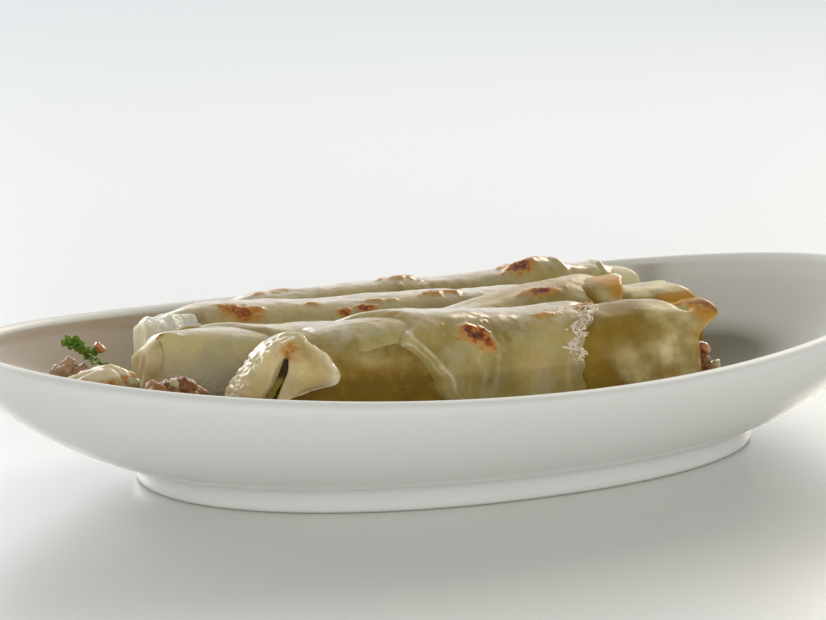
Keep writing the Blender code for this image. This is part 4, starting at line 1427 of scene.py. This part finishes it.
# %% Bright bits
def make_bit_finish(name, one, two):
    finish, tree, shader = new_finish(name, one, 0.3)
    tree.links.new(blend_colour(tree, noise_node(tree, 1.0, 3.0), one, two), shader.inputs["Base Color"])
    shader.inputs["Coat Weight"].default_value = 0.6
    soften(shader, 0.2, (1.0, 0.6, 0.3), 1.0)
    relief(tree, shader, [(noise_node(tree, 0.8, 2.0), 0.1)])
    return finish


carrot_finish = make_bit_finish("carrot_bits", (0.52, 0.17, 0.05), (0.62, 0.30, 0.12))
onion_finish = make_bit_finish("onion_bits", (0.62, 0.58, 0.34), (0.40, 0.38, 0.14))
carrot_places = [(-78.8, 7.2, 29.9), (-77.9, 7.6, 29.4), (46.6, -27.6, 24.0), (47.2, -27.0, 22.9)]
onion_places = [(49.0, -28.2, 19.8), (-76.0, -24.5, 27.6), (-77.2, -24.0, 28.0), (-80.5, -15.0, 27.0)]
make_crumbs("carrot_bits", carrot_places, [1.2, 0.9, 1.3, 1.0], carrot_finish, 12)
make_crumbs("onion_bits", onion_places, [1.3, 1.3, 1.0, 1.5], onion_finish, 13)

# %% [markdown]
# ## Floor and light
# The dish stands on a pale satin table under a soft white sky that is brighter behind it
# than in front. A plain plane is enough for the table: its colour fades a little with the
# distance, so that it meets the sky without a line.

# %% Floor
TABLE_HALF = 6.0


def make_floor():
    finish, tree, shader = new_finish("pale_table", (0.80, 0.80, 0.79), 0.24)
    cloud = noise_node(tree, 300.0, 2.0)
    near = blend_colour(tree, cloud, (0.79, 0.79, 0.77), (0.81, 0.81, 0.79))
    place = add(tree, "ShaderNodeTexCoord")
    away = add(tree, "ShaderNodeVectorMath", operation="LENGTH")
    tree.links.new(place.outputs["Object"], away.inputs[0])
    far = ramp(tree, away.outputs["Value"], 0.15, 0.9)
    tree.links.new(blend_colour(tree, far, near, (0.64, 0.65, 0.65)), shader.inputs["Base Color"])
    mesh = bpy.data.meshes.new("table")
    corners = ((-1, -1), (1, -1), (1, 1), (-1, 1))
    mesh.from_pydata([(x * TABLE_HALF, y * TABLE_HALF, 0.0) for x, y in corners], [], [(0, 1, 2, 3)])
    mesh.materials.append(finish)
    floor = bpy.data.objects.new("table", mesh)
    bpy.context.scene.collection.objects.link(floor)


print("the table reaches", TABLE_HALF, "m each way")

# %% [markdown]
# Two softboxes stand behind the dish. The left one is broad and neutral, the right one is
# smaller and warm. Their shadows cross in front of the dish, and they make the wet places of
# the food sparkle. A low strip of light in front lifts the wall of the dish. Each is a
# rectangle that points at the middle of the dish. A sun would give one hard shadow instead.

# %% Lights and sky
def make_light(name, place, width, height, watts, colour, spread=180.0, shine=1.0):
    data = bpy.data.lights.new(name, "AREA")
    data.shape = "RECTANGLE"
    data.size, data.size_y = width, height
    data.energy = watts
    data.color = colour
    data.spread = math.radians(spread)
    light = bpy.data.objects.new(name, data)
    bpy.context.scene.collection.objects.link(light)
    light.location = place
    light.rotation_euler = (-Vector(place)).to_track_quat("-Z", "Y").to_euler()
    data.specular_factor = shine
    return light


def make_sky(front, back, overhead):
    """A dome of light: bright low down, more so at the back, and dim overhead."""
    world = bpy.data.worlds.new("sky")
    world.use_nodes = True
    tree = world.node_tree
    where = add(tree, "ShaderNodeTexCoord")
    along = add(tree, "ShaderNodeVectorMath", operation="DOT_PRODUCT")
    tree.links.new(where.outputs["Generated"], along.inputs[0])
    along.inputs[1].default_value = (0.47, 0.88, 0.0)
    low = blend_colour(tree, ramp(tree, along.outputs["Value"], -0.5, 0.8), front, back)
    split = add(tree, "ShaderNodeSeparateXYZ")
    tree.links.new(where.outputs["Generated"], split.inputs["Vector"])
    colour = blend_colour(tree, ramp(tree, split.outputs["Z"], 0.30, 0.80), low, overhead)
    tree.links.new(colour, tree.nodes["Background"].inputs["Color"])
    bpy.context.scene.world = world


make_floor()
make_sky((0.80, 0.77, 0.74), (1.24, 1.28, 1.33), (0.32, 0.33, 0.30))
make_light("left_softbox", (-0.24, 1.30, 0.46), 1.4, 0.7, 2.3, (0.98, 1.0, 1.03), 70.0)
make_light("right_softbox", (0.91, 0.73, 0.57), 0.50, 0.50, 0.7, (1.0, 0.88, 0.72), 60.0, 0.5)
make_light("low_card", (-0.42, -0.80, 0.03), 1.4, 0.04, 1.7, (0.93, 1.0, 1.04))
bpy.context.scene.view_settings.view_transform = "Standard"
